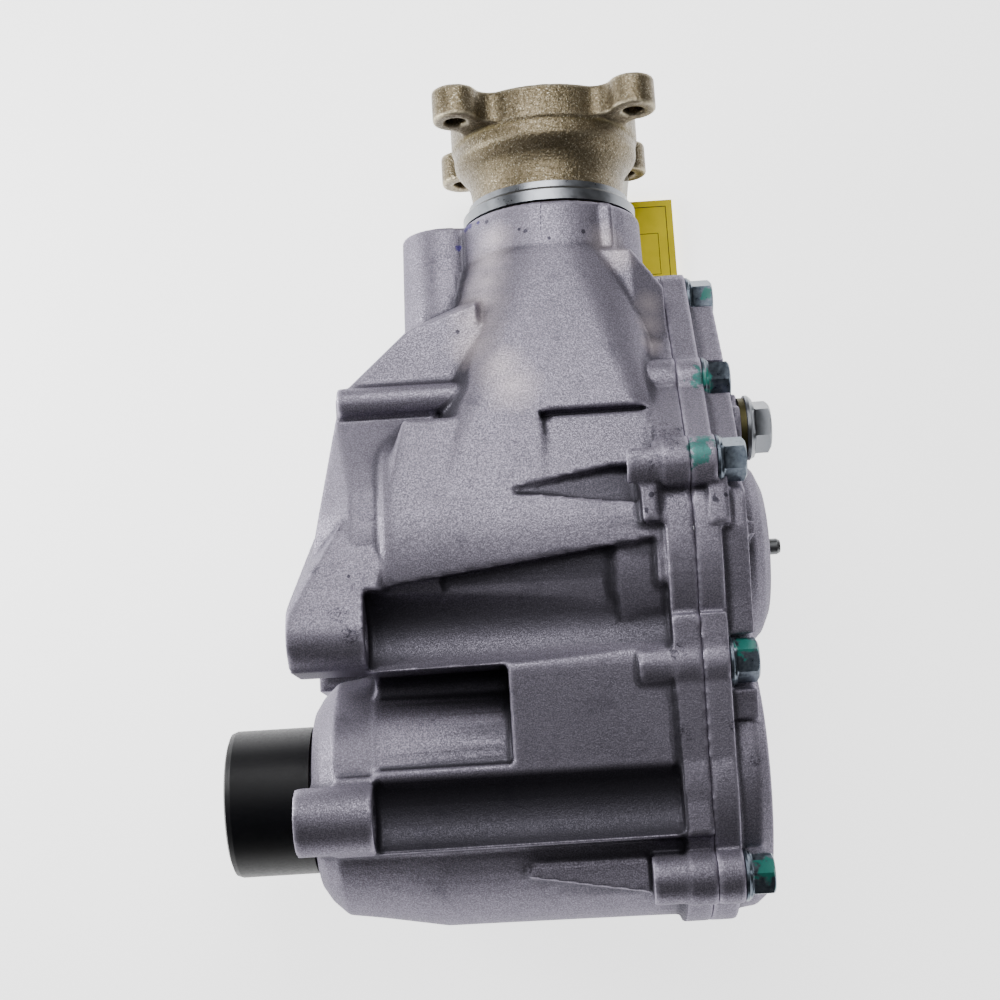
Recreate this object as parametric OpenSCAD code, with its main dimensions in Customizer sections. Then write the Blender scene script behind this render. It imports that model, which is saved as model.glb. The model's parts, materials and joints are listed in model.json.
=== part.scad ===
// Right-angle power take-off unit for a transverse driveline, three shafts in a split case.
// Frame: X runs along the input axis, Y along the output axis, Z faces the viewer.
// The origin is where the input axis meets the transaxle mounting face; all sizes in mm.
// The unit lies on its rear feet, so the floor is at Z = -foot_drop.

/* [Layout] */
// Mounting face to output shaft axis
output_x = 113; // [112:0.5:115]
// Output shaft axis to the joint between case and cover
joint_offset = 46; // [45:0.5:48]
// Face of the output nose to the underside of the flange plate
flange_standoff = 37; // [36:0.5:42]
// Centre plane down to the floor the feet stand on
foot_drop = 80; // [79.5:0.5:84]

/* [Gear train] */
// Module of the straight-cut reduction pair
spur_module = 2.5; // [2.5]
// Teeth on the input gear
input_teeth = 33; // [33]
// Teeth on the driven gear
driven_teeth = 41; // [41]
// Play between the spur flanks at the pitch circle
spur_backlash = 0.30; // [0.25:0.05:0.5]
// Face width of the input gear
spur_width = 24; // [18:1:24]
// Large-end module of the bevel pair
bevel_module = 3.2; // [3.1:0.05:3.25]
// Teeth on the bevel ring gear
ring_teeth = 36; // [36]
// Teeth on the bevel pinion
pinion_teeth = 14; // [14]
// Face width of the bevel teeth along the cone
bevel_face = 18; // [14:1:20]
// Play between the bevel flanks at the large end
bevel_backlash = 0.45; // [0.4:0.05:0.6]

/* [Case] */
// Outer radius of the ring gear barrel
ring_barrel_r = 68; // [67:0.5:70]
// Inner radius of the ring gear chamber
ring_chamber_r = 61; // [60.5:0.25:61.5]
// Outer radius of the barrel over the driven gear
gear_barrel_r = 62.5; // [62:0.25:64]
// Outer radius of the input barrel at the cover
input_barrel_r = 55; // [54:0.5:57]
// Outer radius of the output nose
nose_r = 39; // [38.5:0.25:40]
// Input axis to the end face of the output nose
nose_y = 240; // [239.5:0.25:240.25]
// Thickness of the case rim at the joint
case_rim_t = 11; // [9:0.5:13]
// Radius of the rim around each cover bolt
bolt_boss_r = 10.5; // [10:0.25:11.5]
// Draughted boss beside the nose, radius at its top
side_boss_r = 18.5; // [17:0.5:19.5]

/* [Transaxle mounting] */
// Height between the upper and lower lug
lug_pitch_y = 70; // [69:0.5:72]
// Distance between the front and rear lugs
lug_pitch_z = 120; // [118:1:122]
// Input axis to the lower lug
lug_low_y = 10; // [9:0.5:12]
// Outer radius of a lug
lug_r = 13; // [12.5:0.5:14]
// Radius of the lug bolt holes
lug_hole_r = 5.5; // [5:0.25:6]
// Length of a lug from mounting face to bolt seat
lug_len = 30; // [27:0.5:31]
// Radius of the pilot neck that centres the unit
pilot_r = 27.3; // [27.1:0.1:27.5]
// How far the pilot neck stands out of the mounting face
pilot_len = 9; // [8:0.5:11]

/* [Cover] */
// Thickness of the cover rim under the bolt heads
cover_rim_t = 10.5; // [9:0.5:12]
// Joint to the flat outer face around the half shaft
cover_depth = 24; // [23.5:0.25:26]
// Joint to the top of the bearing dome
dome_height = 35; // [34.5:0.5:38]
// Radius of the bearing dome at its foot
dome_r = 39.5; // [39:0.25:40.25]
// Radius of the boss under the fill plug
plug_boss_r = 14.5; // [14:0.25:15.5]
// Joint to the sealing face of the fill plug
plug_seat_height = 25.5; // [25:0.5:28]

/* [Fasteners] */
// Radius of the cover bolt shank
cover_bolt_r = 5; // [5]
// Length of the cover bolt under the head
cover_bolt_len = 29; // [26:1:30]
// Width of the cover bolt head across its flats
cover_bolt_af = 15; // [13:1:16]
// Radius of the washer face under the cover bolt head
cover_bolt_flange_r = 10; // [9:0.25:10]
// Radius of the fill plug thread
plug_r = 9; // [8:0.5:9]
// Width of the fill plug head across its flats
plug_af = 19; // [17:1:20]
// Radius of the fill plug washer face
plug_flange_r = 13.5; // [12.5:0.25:14]

/* [Output flange] */
// Side of the square the four flange holes sit on
flange_square = 75; // [74:0.5:77]
// Radius of the flange holes
flange_hole_r = 4.4; // [4.2:0.1:5.1]
// Radius of a flange lobe
lobe_r = 9.7; // [9.4:0.1:10.6]
// Thickness of the flange plate
flange_t = 14; // [12:0.5:15]
// Radius of the round rim under the plate
flange_disc_r = 40; // [38:0.5:41]
// Radius of the flange neck
flange_neck_r = 33; // [31:0.5:33.5]
// Radius of the dust ring over the nose
dust_ring_r = 37.6; // [36.5:0.1:38.5]

/* [Shipping parts] */
// Outer radius of the input cap
cap_r = 30; // [29.5:0.25:31]
// Length of the input cap
cap_len = 34.6; // [34.2:0.2:38]
// Width of the hang tag
tag_w = 55; // [50:1:60]
// Height of the hang tag
tag_h = 48; // [44:1:49]

/* [Hidden] */
$fn = 64;
// A cut runs this far past the face it opens
over = 1;
// Standard pressure angle of both gear pairs
press_angle = 20;
// Wall left under a pocket that passes over a chamber
thin_wall = 4;
split_x = output_x + joint_offset;
flange_y = nose_y + flange_standoff;
gear_y = spur_module * (input_teeth + driven_teeth) / 2;
cover_face_x = split_x + cover_depth;
dome_x = split_x + dome_height;
plug_face_x = split_x + plug_seat_height;
input_pitch_r = spur_module * input_teeth / 2;
driven_pitch_r = spur_module * driven_teeth / 2;
input_tip_r = input_pitch_r + spur_module;
driven_tip_r = driven_pitch_r + spur_module;
ring_pitch_r = bevel_module * ring_teeth / 2;
pinion_pitch_r = bevel_module * pinion_teeth / 2;
cone_len = norm([ring_pitch_r, pinion_pitch_r]);
ring_cone = atan(ring_pitch_r / pinion_pitch_r);
pinion_cone = 90 - ring_cone;

// Chambers follow the gears inside them
gear_gap = 2.25;
input_chamber_r = input_tip_r + gear_gap;
gear_chamber_r = driven_tip_r + gear_gap;
spur_x = 57;
chamber_x = spur_x - 3;
ring_back_x = output_x + 37;
ring_chamber_x = ring_back_x - 19;
pinion_chamber_r = pinion_pitch_r + 6;

// Bearings as bore radius, outer radius, roller circle radius, width
input_brg = [22.5, 37.5, 30, 14];
shaft_brg = [17.5, 31, 24.2, 17];
head_brg = [15, 36, 25.6, 20];
tail_brg = [12.5, 31, 21.6, 16];
cup_angle = 14;
roller_angle = 12;
race_angle = 10;
roller_gap = 0.06;
input_brg_x = 26;
input_brg2_x = split_x + 2;
shaft_brg_x = 24;
shaft_brg2_x = dome_x - 6 - shaft_brg[3];
head_brg_y = gear_y + 67.5;
tail_brg_y = nose_y - 13 - tail_brg[3];
roller_count = 16;

// Seals as outer radius and width; the lip runs with lip_gap on its shaft
input_seal = [30, 9];
output_seal = [28, 9];
half_seal = [27, 7];
lip_gap = 0.05;
input_seal_x = 8;
half_seal_x = cover_face_x - half_seal[1];
output_seal_y = nose_y - output_seal[1];

// Input shaft steps
spline_r = 20;
seal_land_r = 21.5;
gear_seat_r = 26;
half_shaft_r = 16.5;
half_lip_r = 17;
input_end_x = -28;
spline_len = 19;
spline_teeth = 24;

// Intermediate shaft steps
mid_r = 21;
mid_flange_r = 38;
mid_flange_t = 6;
ring_bore_r = 26;
ring_bolt_pcr = 32;
ring_bolt_r = 4;
ring_bolt_head_r = 6.5;
ring_bolt_head_t = 4.5;
ring_bolt_grip = 9;
ring_bolt_count = 8;

// Output shaft and flange hub
lobe_fillet = 7;
hub_r = 19;
hub_y = tail_brg_y + tail_brg[3];
nut_seat_y = flange_y + 2;
nut_af = 24;
nut_h = 10;
stub_r = 10;
spacer_t = 2.5;

// Cover bolts as height and depth, the last eight in mirrored pairs
top_bolt_y = 204;
bolt_yz = [[158, 38], [119, 68], [42, 55], [-39.5, 47]];
cover_seat_x = split_x + cover_rim_t;
bolt_tap_x = cover_seat_x - cover_bolt_len - 1;
plug_yz = [140.5, 25];
// Two dowels line the cover up with the case, in the middle of the rim
dowel_r = 3;
dowel_len = 7;
dowel_yz = [[gear_y, ring_chamber_r + 5], [gear_y, -ring_chamber_r - 5]];
// Raised field of the cover as [height, depth] down one side, and its height over the joint
field_edge = [[top_bolt_y - 2, 7], [bolt_yz[0][0] - 1, bolt_yz[0][1] + 5],
  [bolt_yz[1][0] + 1, ring_barrel_r - 2], [gear_y, ring_barrel_r], [66, 62], [44, 58], [20, 52]];
field_h = 21;
// Room between a bolt head and the cover around it
bolt_room = 0.6;
// Raised forms of the cover start this far inside its rim
cover_root_x = split_x + 4;
plug_washer_t = 2.5;
plug_shank = 17;

// Lug heights; the webs stop short of the cap
lug_web_z = cap_r + 1.5;
lug_y = [lug_pitch_y - lug_low_y, -lug_low_y];
lug_z = lug_pitch_z / 2;
// Troughs behind the lug seats, as deep as the chamber walls allow
trough_r = 16.5;
upper_trough_z = sqrt(pow(gear_chamber_r, 2) - pow(gear_y - lug_y[0], 2)) + thin_wall + trough_r;
lower_trough_z = sqrt(pow(input_chamber_r, 2) - pow(lug_y[1], 2)) + thin_wall + trough_r;
ring_wall_r = ring_chamber_r + thin_wall;
// The upper trough rises to the wall of the ring gear chamber
upper_trough_end_z = sqrt(pow(ring_wall_r, 2) - pow(gear_y - lug_y[0], 2)) + trough_r;
trough_edge_y = lug_y[1] - 14;
ridge_y = lug_y[1] + 16;
bolt_wall = 3;
// Deck between the barrels and the pocket sunk in it
deck_z = 57;
pocket_x = 84;
// Left wall a little under the barrel; the shoulder and its ledge; the step under the straight edge
wall_r = ring_barrel_r - 3.5;
wall_z = 63;
shoulder_z = 44;
ledge_y = 157;
ledge_r = 6;
nose_root_x = 62;
step_y = 146;
step_z = 55.5;
slot_w = 2.2;

// Pilot, cap and tag
cap_wall = 2.4;
cap_x = 1.2 - cap_len;
pilot_bore_r = 24;
oring_r = 0.9;
oring_x = 0.2;
oring_groove_t = 1.75;
tag_t = 0.4;
tag_z = tag_t / 2 - foot_drop + 2.8;
tag_right = output_x + 61.6;
tag_top = flange_y + 1;
tag_hole_y = tag_top - 4.5;
tie_w = 3.4;
tie_t = 0.3;

// A round bar along X from x0 to x1 at height y and depth z
module bar_x(x0, x1, r, y = 0, z = 0, r2 = 0) {
  translate([x0, y, z]) rotate([0, 90, 0])
    cylinder(h = x1 - x0, r1 = r, r2 = r2 > 0 ? r2 : r);
}

// A round bar along Y from y0 to y1 at position x and depth z
module bar_y(y0, y1, r, x, z = 0, r2 = 0) {
  translate([x, y0, z]) rotate([-90, 0, 0])
    cylinder(h = y1 - y0, r1 = r, r2 = r2 > 0 ? r2 : r);
}

// A profile of [radius, x] points turned about a line along X at height y
module turned_x(points, y = 0) {
  translate([0, y, 0]) rotate([0, 90, 0]) rotate_extrude() polygon(points);
}

// A profile of [radius, y] points turned about a line along Y at position x
module turned_y(points, x) {
  translate([x, 0, 0]) rotate([-90, 0, 0]) rotate_extrude() polygon(points);
}

// A flat shape drawn as [height, depth], standing between x0 and x1
module plate_x(x0, x1) {
  translate([x0, 0, 0]) rotate([90, 0, 90]) linear_extrude(x1 - x0) children();
}

// The same shape on the front and on the rear
module both_sides() {
  children();
  mirror([0, 0, 1]) children();
}

// Every cover bolt position, with children along +X from the origin
module at_bolts() {
  translate([0, top_bolt_y, 0]) children();
  for (p = bolt_yz) for (side = [1, -1]) translate([0, p[0], side * p[1]]) children();
}

// Outline of the joint between case and cover
module joint_outline() {
  rim_top = top_bolt_y + bolt_boss_r - 2.5;
  shoulder = bolt_yz[0] + [0, 8];
  flank = bolt_yz[1] + [1, 2];
  translate([gear_y, 0]) circle(r = ring_barrel_r + 3);
  circle(r = input_barrel_r + 3);
  translate([top_bolt_y, 0]) circle(r = bolt_boss_r + 1);
  polygon([[rim_top, -8], [rim_top, 8], shoulder, flank, [flank[0], -flank[1]],
    [shoulder[0], -shoulder[1]]]);
  for (p = bolt_yz) for (side = [1, -1]) translate([p[0], side * p[1]]) circle(r = bolt_boss_r);
  polygon([[42, 64], [60, 66], [60, -66], [42, -64], [0, -57], [0, 57]]);
}

// Chamber turned about the input axis, from pilot neck to joint
module input_chamber() {
  turned_x([[0, -pilot_len - over], [pilot_bore_r, -pilot_len - over], [pilot_bore_r, input_seal_x],
    [input_seal[0], input_seal_x], [input_seal[0], input_seal_x + input_seal[1]],
    [pilot_bore_r + 2, input_seal_x + input_seal[1]], [pilot_bore_r + 2, input_brg_x],
    [input_brg[1], input_brg_x], [input_brg[1], input_brg_x + input_brg[3]],
    [input_chamber_r, chamber_x], [input_chamber_r, split_x + over], [0, split_x + over]]);
}

// Chamber turned about the intermediate axis
module shaft_chamber() {
  turned_x([[0, shaft_brg_x - 3], [shaft_brg[1] - 6, shaft_brg_x - 3],
    [shaft_brg[1] - 6, shaft_brg_x], [shaft_brg[1], shaft_brg_x],
    [shaft_brg[1], shaft_brg_x + shaft_brg[3]], [gear_chamber_r - 12, chamber_x - 6],
    [gear_chamber_r, chamber_x], [gear_chamber_r, ring_chamber_x],
    [ring_chamber_r, ring_chamber_x + 3], [ring_chamber_r, split_x + over], [0, split_x + over]],
    gear_y);
}

// Chamber turned about the output axis, from pinion head to nose face
module output_chamber() {
  turned_y([[0, gear_y + 8], [pinion_chamber_r, gear_y + 8], [pinion_chamber_r, head_brg_y],
    [head_brg[1], head_brg_y], [head_brg[1], head_brg_y + head_brg[3]],
    [hub_r + 3.5, head_brg_y + head_brg[3] + 4], [hub_r + 3.5, tail_brg_y],
    [tail_brg[1], tail_brg_y], [tail_brg[1], tail_brg_y + tail_brg[3]],
    [output_seal[0] - 4, tail_brg_y + tail_brg[3]], [output_seal[0] - 4, output_seal_y],
    [output_seal[0], output_seal_y], [output_seal[0], nose_y + over], [0, nose_y + over]],
    output_x);
}

// One transaxle lug with its web down to the case
module lug(y) {
  bar_x(0, lug_len, lug_r, y, lug_z);
  translate([0, y - lug_r, lug_web_z]) cube([lug_len, 2 * lug_r, lug_z - lug_web_z]);
}

// Foot under a rear lug, down to the floor
module rear_foot(x0, x1, y, w) {
  translate([x0, y - w / 2, -foot_drop]) cube([x1 - x0, w, foot_drop - 40]);
}

module case_outside() {
  // Input barrel with a rounded left end
  turned_x([[0, 3], [36, 3], [42, 7], [47.5, 13], [49.5, 27], [input_barrel_r - 1, 53],
    [input_barrel_r, split_x], [0, split_x]]);
  // Pilot neck that centres the unit in the transaxle
  bar_x(-pilot_len, 4, pilot_r);
  // Barrel over the driven gear
  turned_x([[0, 14], [30, 14], [50, 34], [gear_barrel_r - 2, 42], [gear_barrel_r, 48],
    [gear_barrel_r, split_x], [0, split_x]], gear_y);
  // Raised upper band of the ring gear barrel, cut off along the slanted rib
  intersection() {
    turned_x([[0, 30], [52, 30], [ring_barrel_r - 4, 36], [ring_barrel_r - 1, 39], [ring_barrel_r, 43],
      [ring_barrel_r, split_x], [0, split_x]], gear_y);
    translate([0, 0, -100]) linear_extrude(200)
      polygon([[26, 76.4], [144, 90.5], [144, 20], [split_x, 20], [split_x, 170], [26, 170]]);
  }
  // Full wall around the ring gear chamber
  turned_x([[0, ring_chamber_x - 8], [ring_wall_r - 4, ring_chamber_x - 8],
    [ring_wall_r, ring_chamber_x - 2], [ring_wall_r, split_x], [0, split_x]], gear_y);
  // Sloping left wall, rising to just under the barrel
  hull() {
    intersection() {
      bar_x(26, 60, wall_r, gear_y, $fn = 48);
      translate([0, 78, -100]) cube([70, 58, 200]);
    }
    translate([0, 0, -54]) linear_extrude(108)
      polygon([[5, 66], [5.4, 75], [12.2, 108], [60, 108], [60, 66]]);
    translate([0, 0, -42]) linear_extrude(84)
      polygon([[4, 62], [4, 76], [15, 124], [20, 140], [20, 152], [60, 152], [60, 62]]);
  }
  // The wall runs into the upper lug
  both_sides() hull() {
    bar_x(0, lug_len, lug_r, lug_y[0], lug_z, $fn = 32);
    translate([24, 100, 28]) cube([20, 8, wall_z - 30]);
    translate([8, 96, 20]) cube([6, 8, 14]);
  }
  // Shoulder plate with the straight ledge under it
  hull() {
    translate([0, 0, -shoulder_z / 2]) linear_extrude(shoulder_z)
      polygon([[18, 154], [18, 164], [21, 165.6], [50, 192.6], [80, 205], [80, 154]]);
    translate([0, 0, -shoulder_z]) linear_extrude(2 * shoulder_z)
      polygon([[20.3, 152], [20.3, 158.5], [22.4, 160], [51.2, 186.2], [80, 196], [80, 152]]);
  }
  both_sides() bar_x(21, 78, ledge_r, ledge_y, shoulder_z);
  // The barrel's face carries on straight to the ledge
  hull() {
    intersection() {
      bar_x(42, nose_root_x + 4, ring_barrel_r, gear_y, $fn = 48);
      translate([0, gear_y + 6, -100]) cube([split_x, 32, 200]);
    }
    translate([48, step_y - 8, -step_z]) cube([24, 8, 2 * step_z]);
  }
  // Front and rear faces run straight from the barrel up to the nose
  hull() {
    intersection() {
      bar_x(nose_root_x, split_x - 9, ring_barrel_r, gear_y, $fn = 48);
      translate([0, gear_y + 6, -100]) cube([split_x, ring_barrel_r, 200]);
    }
    bar_y(214, 222, nose_r, output_x, $fn = 48);
  }
  // Output nose
  bar_y(190, nose_y, nose_r + 1, output_x, 0, nose_r);
  // Draughted boss beside the nose
  bar_y(170, nose_y, side_boss_r + 2, 66.5, -5, side_boss_r);
  // Web from the nose across to the joint
  hull() {
    translate([split_x - 9, 160, -30]) cube([8, 42, 60]);
    translate([output_x + 20, 170, -36]) cube([12, 48, 72]);
  }
  // Web up to the top of the joint
  translate([output_x + 10, 150, -14]) cube([split_x - output_x - 10, 62, 28]);
  // Deck between the barrels, rising from the ridge to the upper trough
  plate_x(lug_len, split_x) polygon([[trough_edge_y, -deck_z], [trough_edge_y, deck_z],
    [ridge_y, deck_z], [lug_y[0] - trough_r, deck_z + 5], [lug_y[0] + 8, deck_z + 3],
    [lug_y[0] + 8, -deck_z - 3], [lug_y[0] - trough_r, -deck_z - 5], [ridge_y, -deck_z]]);
  plate_x(14, lug_len + over)
    polygon([[trough_edge_y, -deck_z], [trough_edge_y, deck_z], [ridge_y, deck_z], [ridge_y, -deck_z]]);
  // Rim of the joint
  plate_x(split_x - case_rim_t, split_x) joint_outline();
  // Bolt columns behind the rim
  at_bolts() bar_x(bolt_tap_x - 5, split_x, bolt_boss_r - 1);
  // Lugs on both sides and feet at the rear
  both_sides() for (y = lug_y) lug(y);
  for (y = lug_y) rear_foot(3, lug_len - 4, y, 16);
  rear_foot(split_x - case_rim_t, split_x, bolt_yz[1][0], 16);
  rear_foot(split_x - case_rim_t, split_x, bolt_yz[2][0], 14);
  // Gusset of the lower bolt column
  both_sides() translate([0, 0, 22]) linear_extrude(24)
    polygon([[87, -36], [133, -44], [133, -32], [88, -32]]);
  // Ear with a cored pit beside the joint
  difference() {
    translate([139.5, 96, 50]) cube([7, 17, 21]);
    bar_x(136, 143, 2.6, 101, 68);
  }
  // Thin rib down the right of the nose
  translate([output_x + 22, 205, 0]) cube([4, 34, 34]);
}

// Long trough that leaves room for a socket and its extension behind a lug seat
module trough(y, z, end_z) {
  rise = atan((end_z - z) / (ring_chamber_x - lug_len));
  difference() {
    intersection() {
      translate([lug_len, y, z]) rotate([0, 90 - rise, 0]) translate([0, 0, -10])
        cylinder(h = split_x, r = trough_r);
      translate([lug_len, y - trough_r - over, z - trough_r - over])
        cube([split_x - case_rim_t - lug_len, 2 * (trough_r + over), 3 * trough_r]);
    }
    // The bolt columns and the ring gear chamber keep their walls
    bar_x(ring_chamber_x - 2, split_x, ring_wall_r, gear_y);
    at_bolts() bar_x(bolt_tap_x - 5, split_x, cover_bolt_r + bolt_wall);
  }
}

module main_case() {
  color("Silver") difference() {
    case_outside();
    input_chamber();
    shaft_chamber();
    output_chamber();
    // Pocket between the lugs, leaving the wall over the input gear
    both_sides() difference() {
      translate([lug_len - over, ridge_y + 2, 34])
        cube([pocket_x - lug_len + over, lug_y[0] - trough_r - ridge_y, 40]);
      bar_x(0, 90, input_chamber_r + thin_wall + 0.5);
      bar_x(0, 90, gear_chamber_r + thin_wall, gear_y);
    }
    // Troughs behind the lug seats
    both_sides() {
      trough(lug_y[0], upper_trough_z, upper_trough_end_z);
      trough(lug_y[1], lower_trough_z, lower_trough_z);
    }
    // Lug bolt holes
    both_sides() for (y = lug_y) bar_x(-over, lug_len + over, lug_hole_r, y, lug_z);
    // Shallow step and slot under the straight edge on the right
    both_sides() {
      translate([split_x - 56, 0, 0]) rotate([90, 0, 90]) linear_extrude(42)
        polygon([[step_y, step_z], [step_y, step_z + 20], [step_y - 30, step_z + 20],
          [step_y - 30, step_z + 8.7]]);
      translate([split_x - 56, step_y - slot_w, step_z - 4]) cube([42, slot_w, 8]);
      translate([split_x - 54, step_y - slot_w, step_z - 3]) cylinder(h = 20, r = slot_w);
    }
    // Wedge-shaped recess in the barrel, running deeper to the right
    both_sides() translate([84, gear_y, 0]) rotate([-17.5, 0, 0]) translate([0, 0, ring_barrel_r - 1])
      rotate([0, 5, 0]) linear_extrude(12) polygon([[0, 0], [44, 8.5], [55, 8.5], [55, -8]]);
    // Tapped holes for the cover bolts
    at_bolts() bar_x(bolt_tap_x, split_x + over, cover_bolt_r);
    // Dowel holes
    for (p = dowel_yz) bar_x(split_x - dowel_len, split_x + over, dowel_r, p[0], p[1]);
    // Groove of the pilot ring
    turned_x([[pilot_r - oring_groove_t, oring_x - 1.2], [pilot_r + over, oring_x - 1.2],
      [pilot_r + over, oring_x + 1.2], [pilot_r - oring_groove_t, oring_x + 1.2]]);
  }
}

module dowel_pins() {
  color("Gainsboro") for (p = dowel_yz)
    bar_x(split_x - dowel_len, split_x + dowel_len, dowel_r, p[0], p[1]);
}

module cover_outside() {
  // Rim
  plate_x(split_x, cover_seat_x) joint_outline();
  // Housing of the input bearing, with a draughted wall and broken edge
  turned_x([[0, cover_root_x], [input_barrel_r, cover_root_x], [input_barrel_r - 2, cover_face_x - 5],
    [input_barrel_r - 6, cover_face_x], [0, cover_face_x]]);
  // Dome over the intermediate bearing
  turned_x([[0, cover_root_x], [dome_r + 6, cover_root_x], [dome_r + 3, split_x + field_h - 1],
    [dome_r - 1, dome_x - 8], [dome_r - 5, dome_x - 4], [dome_r - 12, dome_x - 0.8],
    [dome_r - 20, dome_x], [0, dome_x]], gear_y);
  // Raised field out to the rim, from the input housing up to the top bolt
  plate_x(cover_root_x, split_x + field_h) polygon(concat(field_edge,
    [for (i = [len(field_edge) - 1 : -1 : 0]) [field_edge[i][0], -field_edge[i][1]]]));
  // Boss under the fill plug
  bar_x(cover_root_x, plug_face_x, plug_boss_r, plug_yz[0], plug_yz[1]);
  // Ribs from the dome over the field
  for (a = [35, 90, 145]) translate([0, gear_y, 0]) rotate([a, 0, 0])
    translate([cover_root_x, 30, -2.5]) cube([20, 34, 5]);
  // Ear with a cored pit beside the joint
  difference() {
    translate([split_x + 6.5, 93.5, 50]) cube([8, 20, 20]);
    bar_x(split_x + 12, split_x + 15, 2.2, 99, 66.5);
  }
}

module side_cover() {
  color("LightGray") difference() {
    cover_outside();
    // Ring gear side of the chamber and intermediate bearing bore
    turned_x([[0, split_x - over], [ring_chamber_r - 2, split_x - over],
      [ring_chamber_r - 2, split_x + 4], [mid_flange_r + 8, split_x + 6],
      [shaft_brg[1] + 4, split_x + 7], [shaft_brg[1], split_x + 8],
      [shaft_brg[1], shaft_brg2_x + shaft_brg[3]], [16, shaft_brg2_x + shaft_brg[3]],
      [16, dome_x - 4], [0, dome_x - 4]], gear_y);
    // Input bearing bore, half shaft opening and seal seat
    turned_x([[0, split_x - over], [input_brg[1], split_x - over],
      [input_brg[1], input_brg2_x + input_brg[3]], [pilot_bore_r, input_brg2_x + input_brg[3]],
      [pilot_bore_r, half_seal_x], [half_seal[0], half_seal_x],
      [half_seal[0], cover_face_x + over], [0, cover_face_x + over]]);
    // Wrench room around each bolt head and the bolt holes
    at_bolts() bar_x(cover_seat_x, dome_x + over, cover_bolt_flange_r + bolt_room);
    at_bolts() bar_x(split_x - over, cover_seat_x + over, cover_bolt_r + 0.5);
    for (p = dowel_yz) bar_x(split_x - over, split_x + dowel_len, dowel_r, p[0], p[1]);
    // Tapped fill hole
    bar_x(split_x - over, plug_face_x + over, plug_r, plug_yz[0], plug_yz[1]);
    // Breather hole
    bar_x(dome_x - 6, dome_x + over, 2, gear_y + 1.5, 0);
  }
}

module cover_bolts() {
  color("LightSteelBlue") at_bolts() {
    bar_x(cover_seat_x - cover_bolt_len, cover_seat_x, cover_bolt_r);
    bar_x(cover_seat_x, cover_seat_x + 2.5, cover_bolt_flange_r, 0, 0, cover_bolt_flange_r - 1);
    translate([cover_seat_x + 2, 0, 0]) rotate([0, 90, 0])
      cylinder(h = 9.5, r = cover_bolt_af / sqrt(3), $fn = 6);
  }
}

module breather() {
  color("DimGray") turned_x([[0, dome_x - 5], [2, dome_x - 5], [2, dome_x], [3.4, dome_x],
    [3.4, dome_x + 5.6], [2.6, dome_x + 7], [0, dome_x + 7]], gear_y + 1.5);
}

module plug_washer() {
  color("DarkKhaki") translate([plug_face_x, plug_yz[0], plug_yz[1]]) rotate([0, 90, 0])
    difference() {
      cylinder(h = plug_washer_t, r = plug_flange_r - 1);
      translate([0, 0, -over]) cylinder(h = plug_washer_t + 2 * over, r = plug_r + 0.3);
    }
}

module fill_plug() {
  seat = plug_face_x + plug_washer_t;
  color("LightSteelBlue") {
    bar_x(seat - plug_shank, seat, plug_r - 0.05, plug_yz[0], plug_yz[1]);
    bar_x(seat, seat + 3.5, plug_flange_r, plug_yz[0], plug_yz[1]);
    translate([seat + 3, plug_yz[0], plug_yz[1]]) rotate([0, 90, 0])
      cylinder(h = 7.5, r = plug_af / sqrt(3), $fn = 6);
  }
}

// A pressed steel and rubber seal, its lip running just off the shaft
module seal_ring(size, lip) {
  rotate_extrude() polygon([[lip, 0], [size[0] - 3, 0], [size[0] - 3, 2], [size[0], 2],
    [size[0], size[1]], [lip + 2, size[1]], [lip, size[1] - 2]]);
}

module input_seal_ring() {
  color("Sienna") translate([input_seal_x, 0, 0]) rotate([0, 90, 0])
    seal_ring(input_seal, seal_land_r + lip_gap);
}

module half_shaft_seal() {
  color("Sienna") translate([half_seal_x, 0, 0]) rotate([0, 90, 0])
    seal_ring(half_seal, half_lip_r);
}

module output_seal_ring() {
  color("Sienna") translate([output_x, output_seal_y, 0]) rotate([-90, 0, 0])
    seal_ring(output_seal, hub_r + lip_gap);
}

// Tapered roller bearing parts; b is a bearing vector, the small end at z = 0
function apex_len(b) = b[2] / sin(roller_angle);
function apex_mid(b) = b[2] / tan(roller_angle);

module cup(b) {
  a0 = apex_mid(b) - b[3] / 2;
  difference() {
    cylinder(h = b[3], r = b[1]);
    translate([0, 0, -over]) cylinder(h = b[3] + 2 * over, r1 = (a0 - over) * tan(cup_angle),
      r2 = (a0 + b[3] + over) * tan(cup_angle));
  }
}

module race(b) {
  a0 = apex_mid(b) - b[3] / 2;
  difference() {
    cylinder(h = b[3], r1 = a0 * tan(race_angle), r2 = (a0 + b[3]) * tan(race_angle));
    translate([0, 0, -over]) cylinder(h = b[3] + 2 * over, r = b[0]);
  }
}

module rollers(b) {
  s = apex_len(b);
  h = 0.72 * b[3];
  half = tan(cup_angle - roller_angle);
  for (i = [0 : roller_count - 1]) rotate([0, 0, i * 360 / roller_count])
    translate([0, 0, b[3] / 2 - apex_mid(b)]) rotate([0, roller_angle, 0])
      translate([0, 0, s - h / 2])
        cylinder(h = h, r1 = (s - h / 2) * half - roller_gap, r2 = (s + h / 2) * half - roller_gap,
          $fn = 24);
}

// Left and right bearing of the input shaft, cones facing each other
module input_bearings() {
  translate([input_brg_x + input_brg[3], 0, 0]) rotate([0, -90, 0]) children();
  translate([input_brg2_x, 0, 0]) rotate([0, 90, 0]) children();
}

module shaft_bearings() {
  translate([shaft_brg_x + shaft_brg[3], gear_y, 0]) rotate([0, -90, 0]) children();
  translate([shaft_brg2_x, gear_y, 0]) rotate([0, 90, 0]) children();
}

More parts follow.
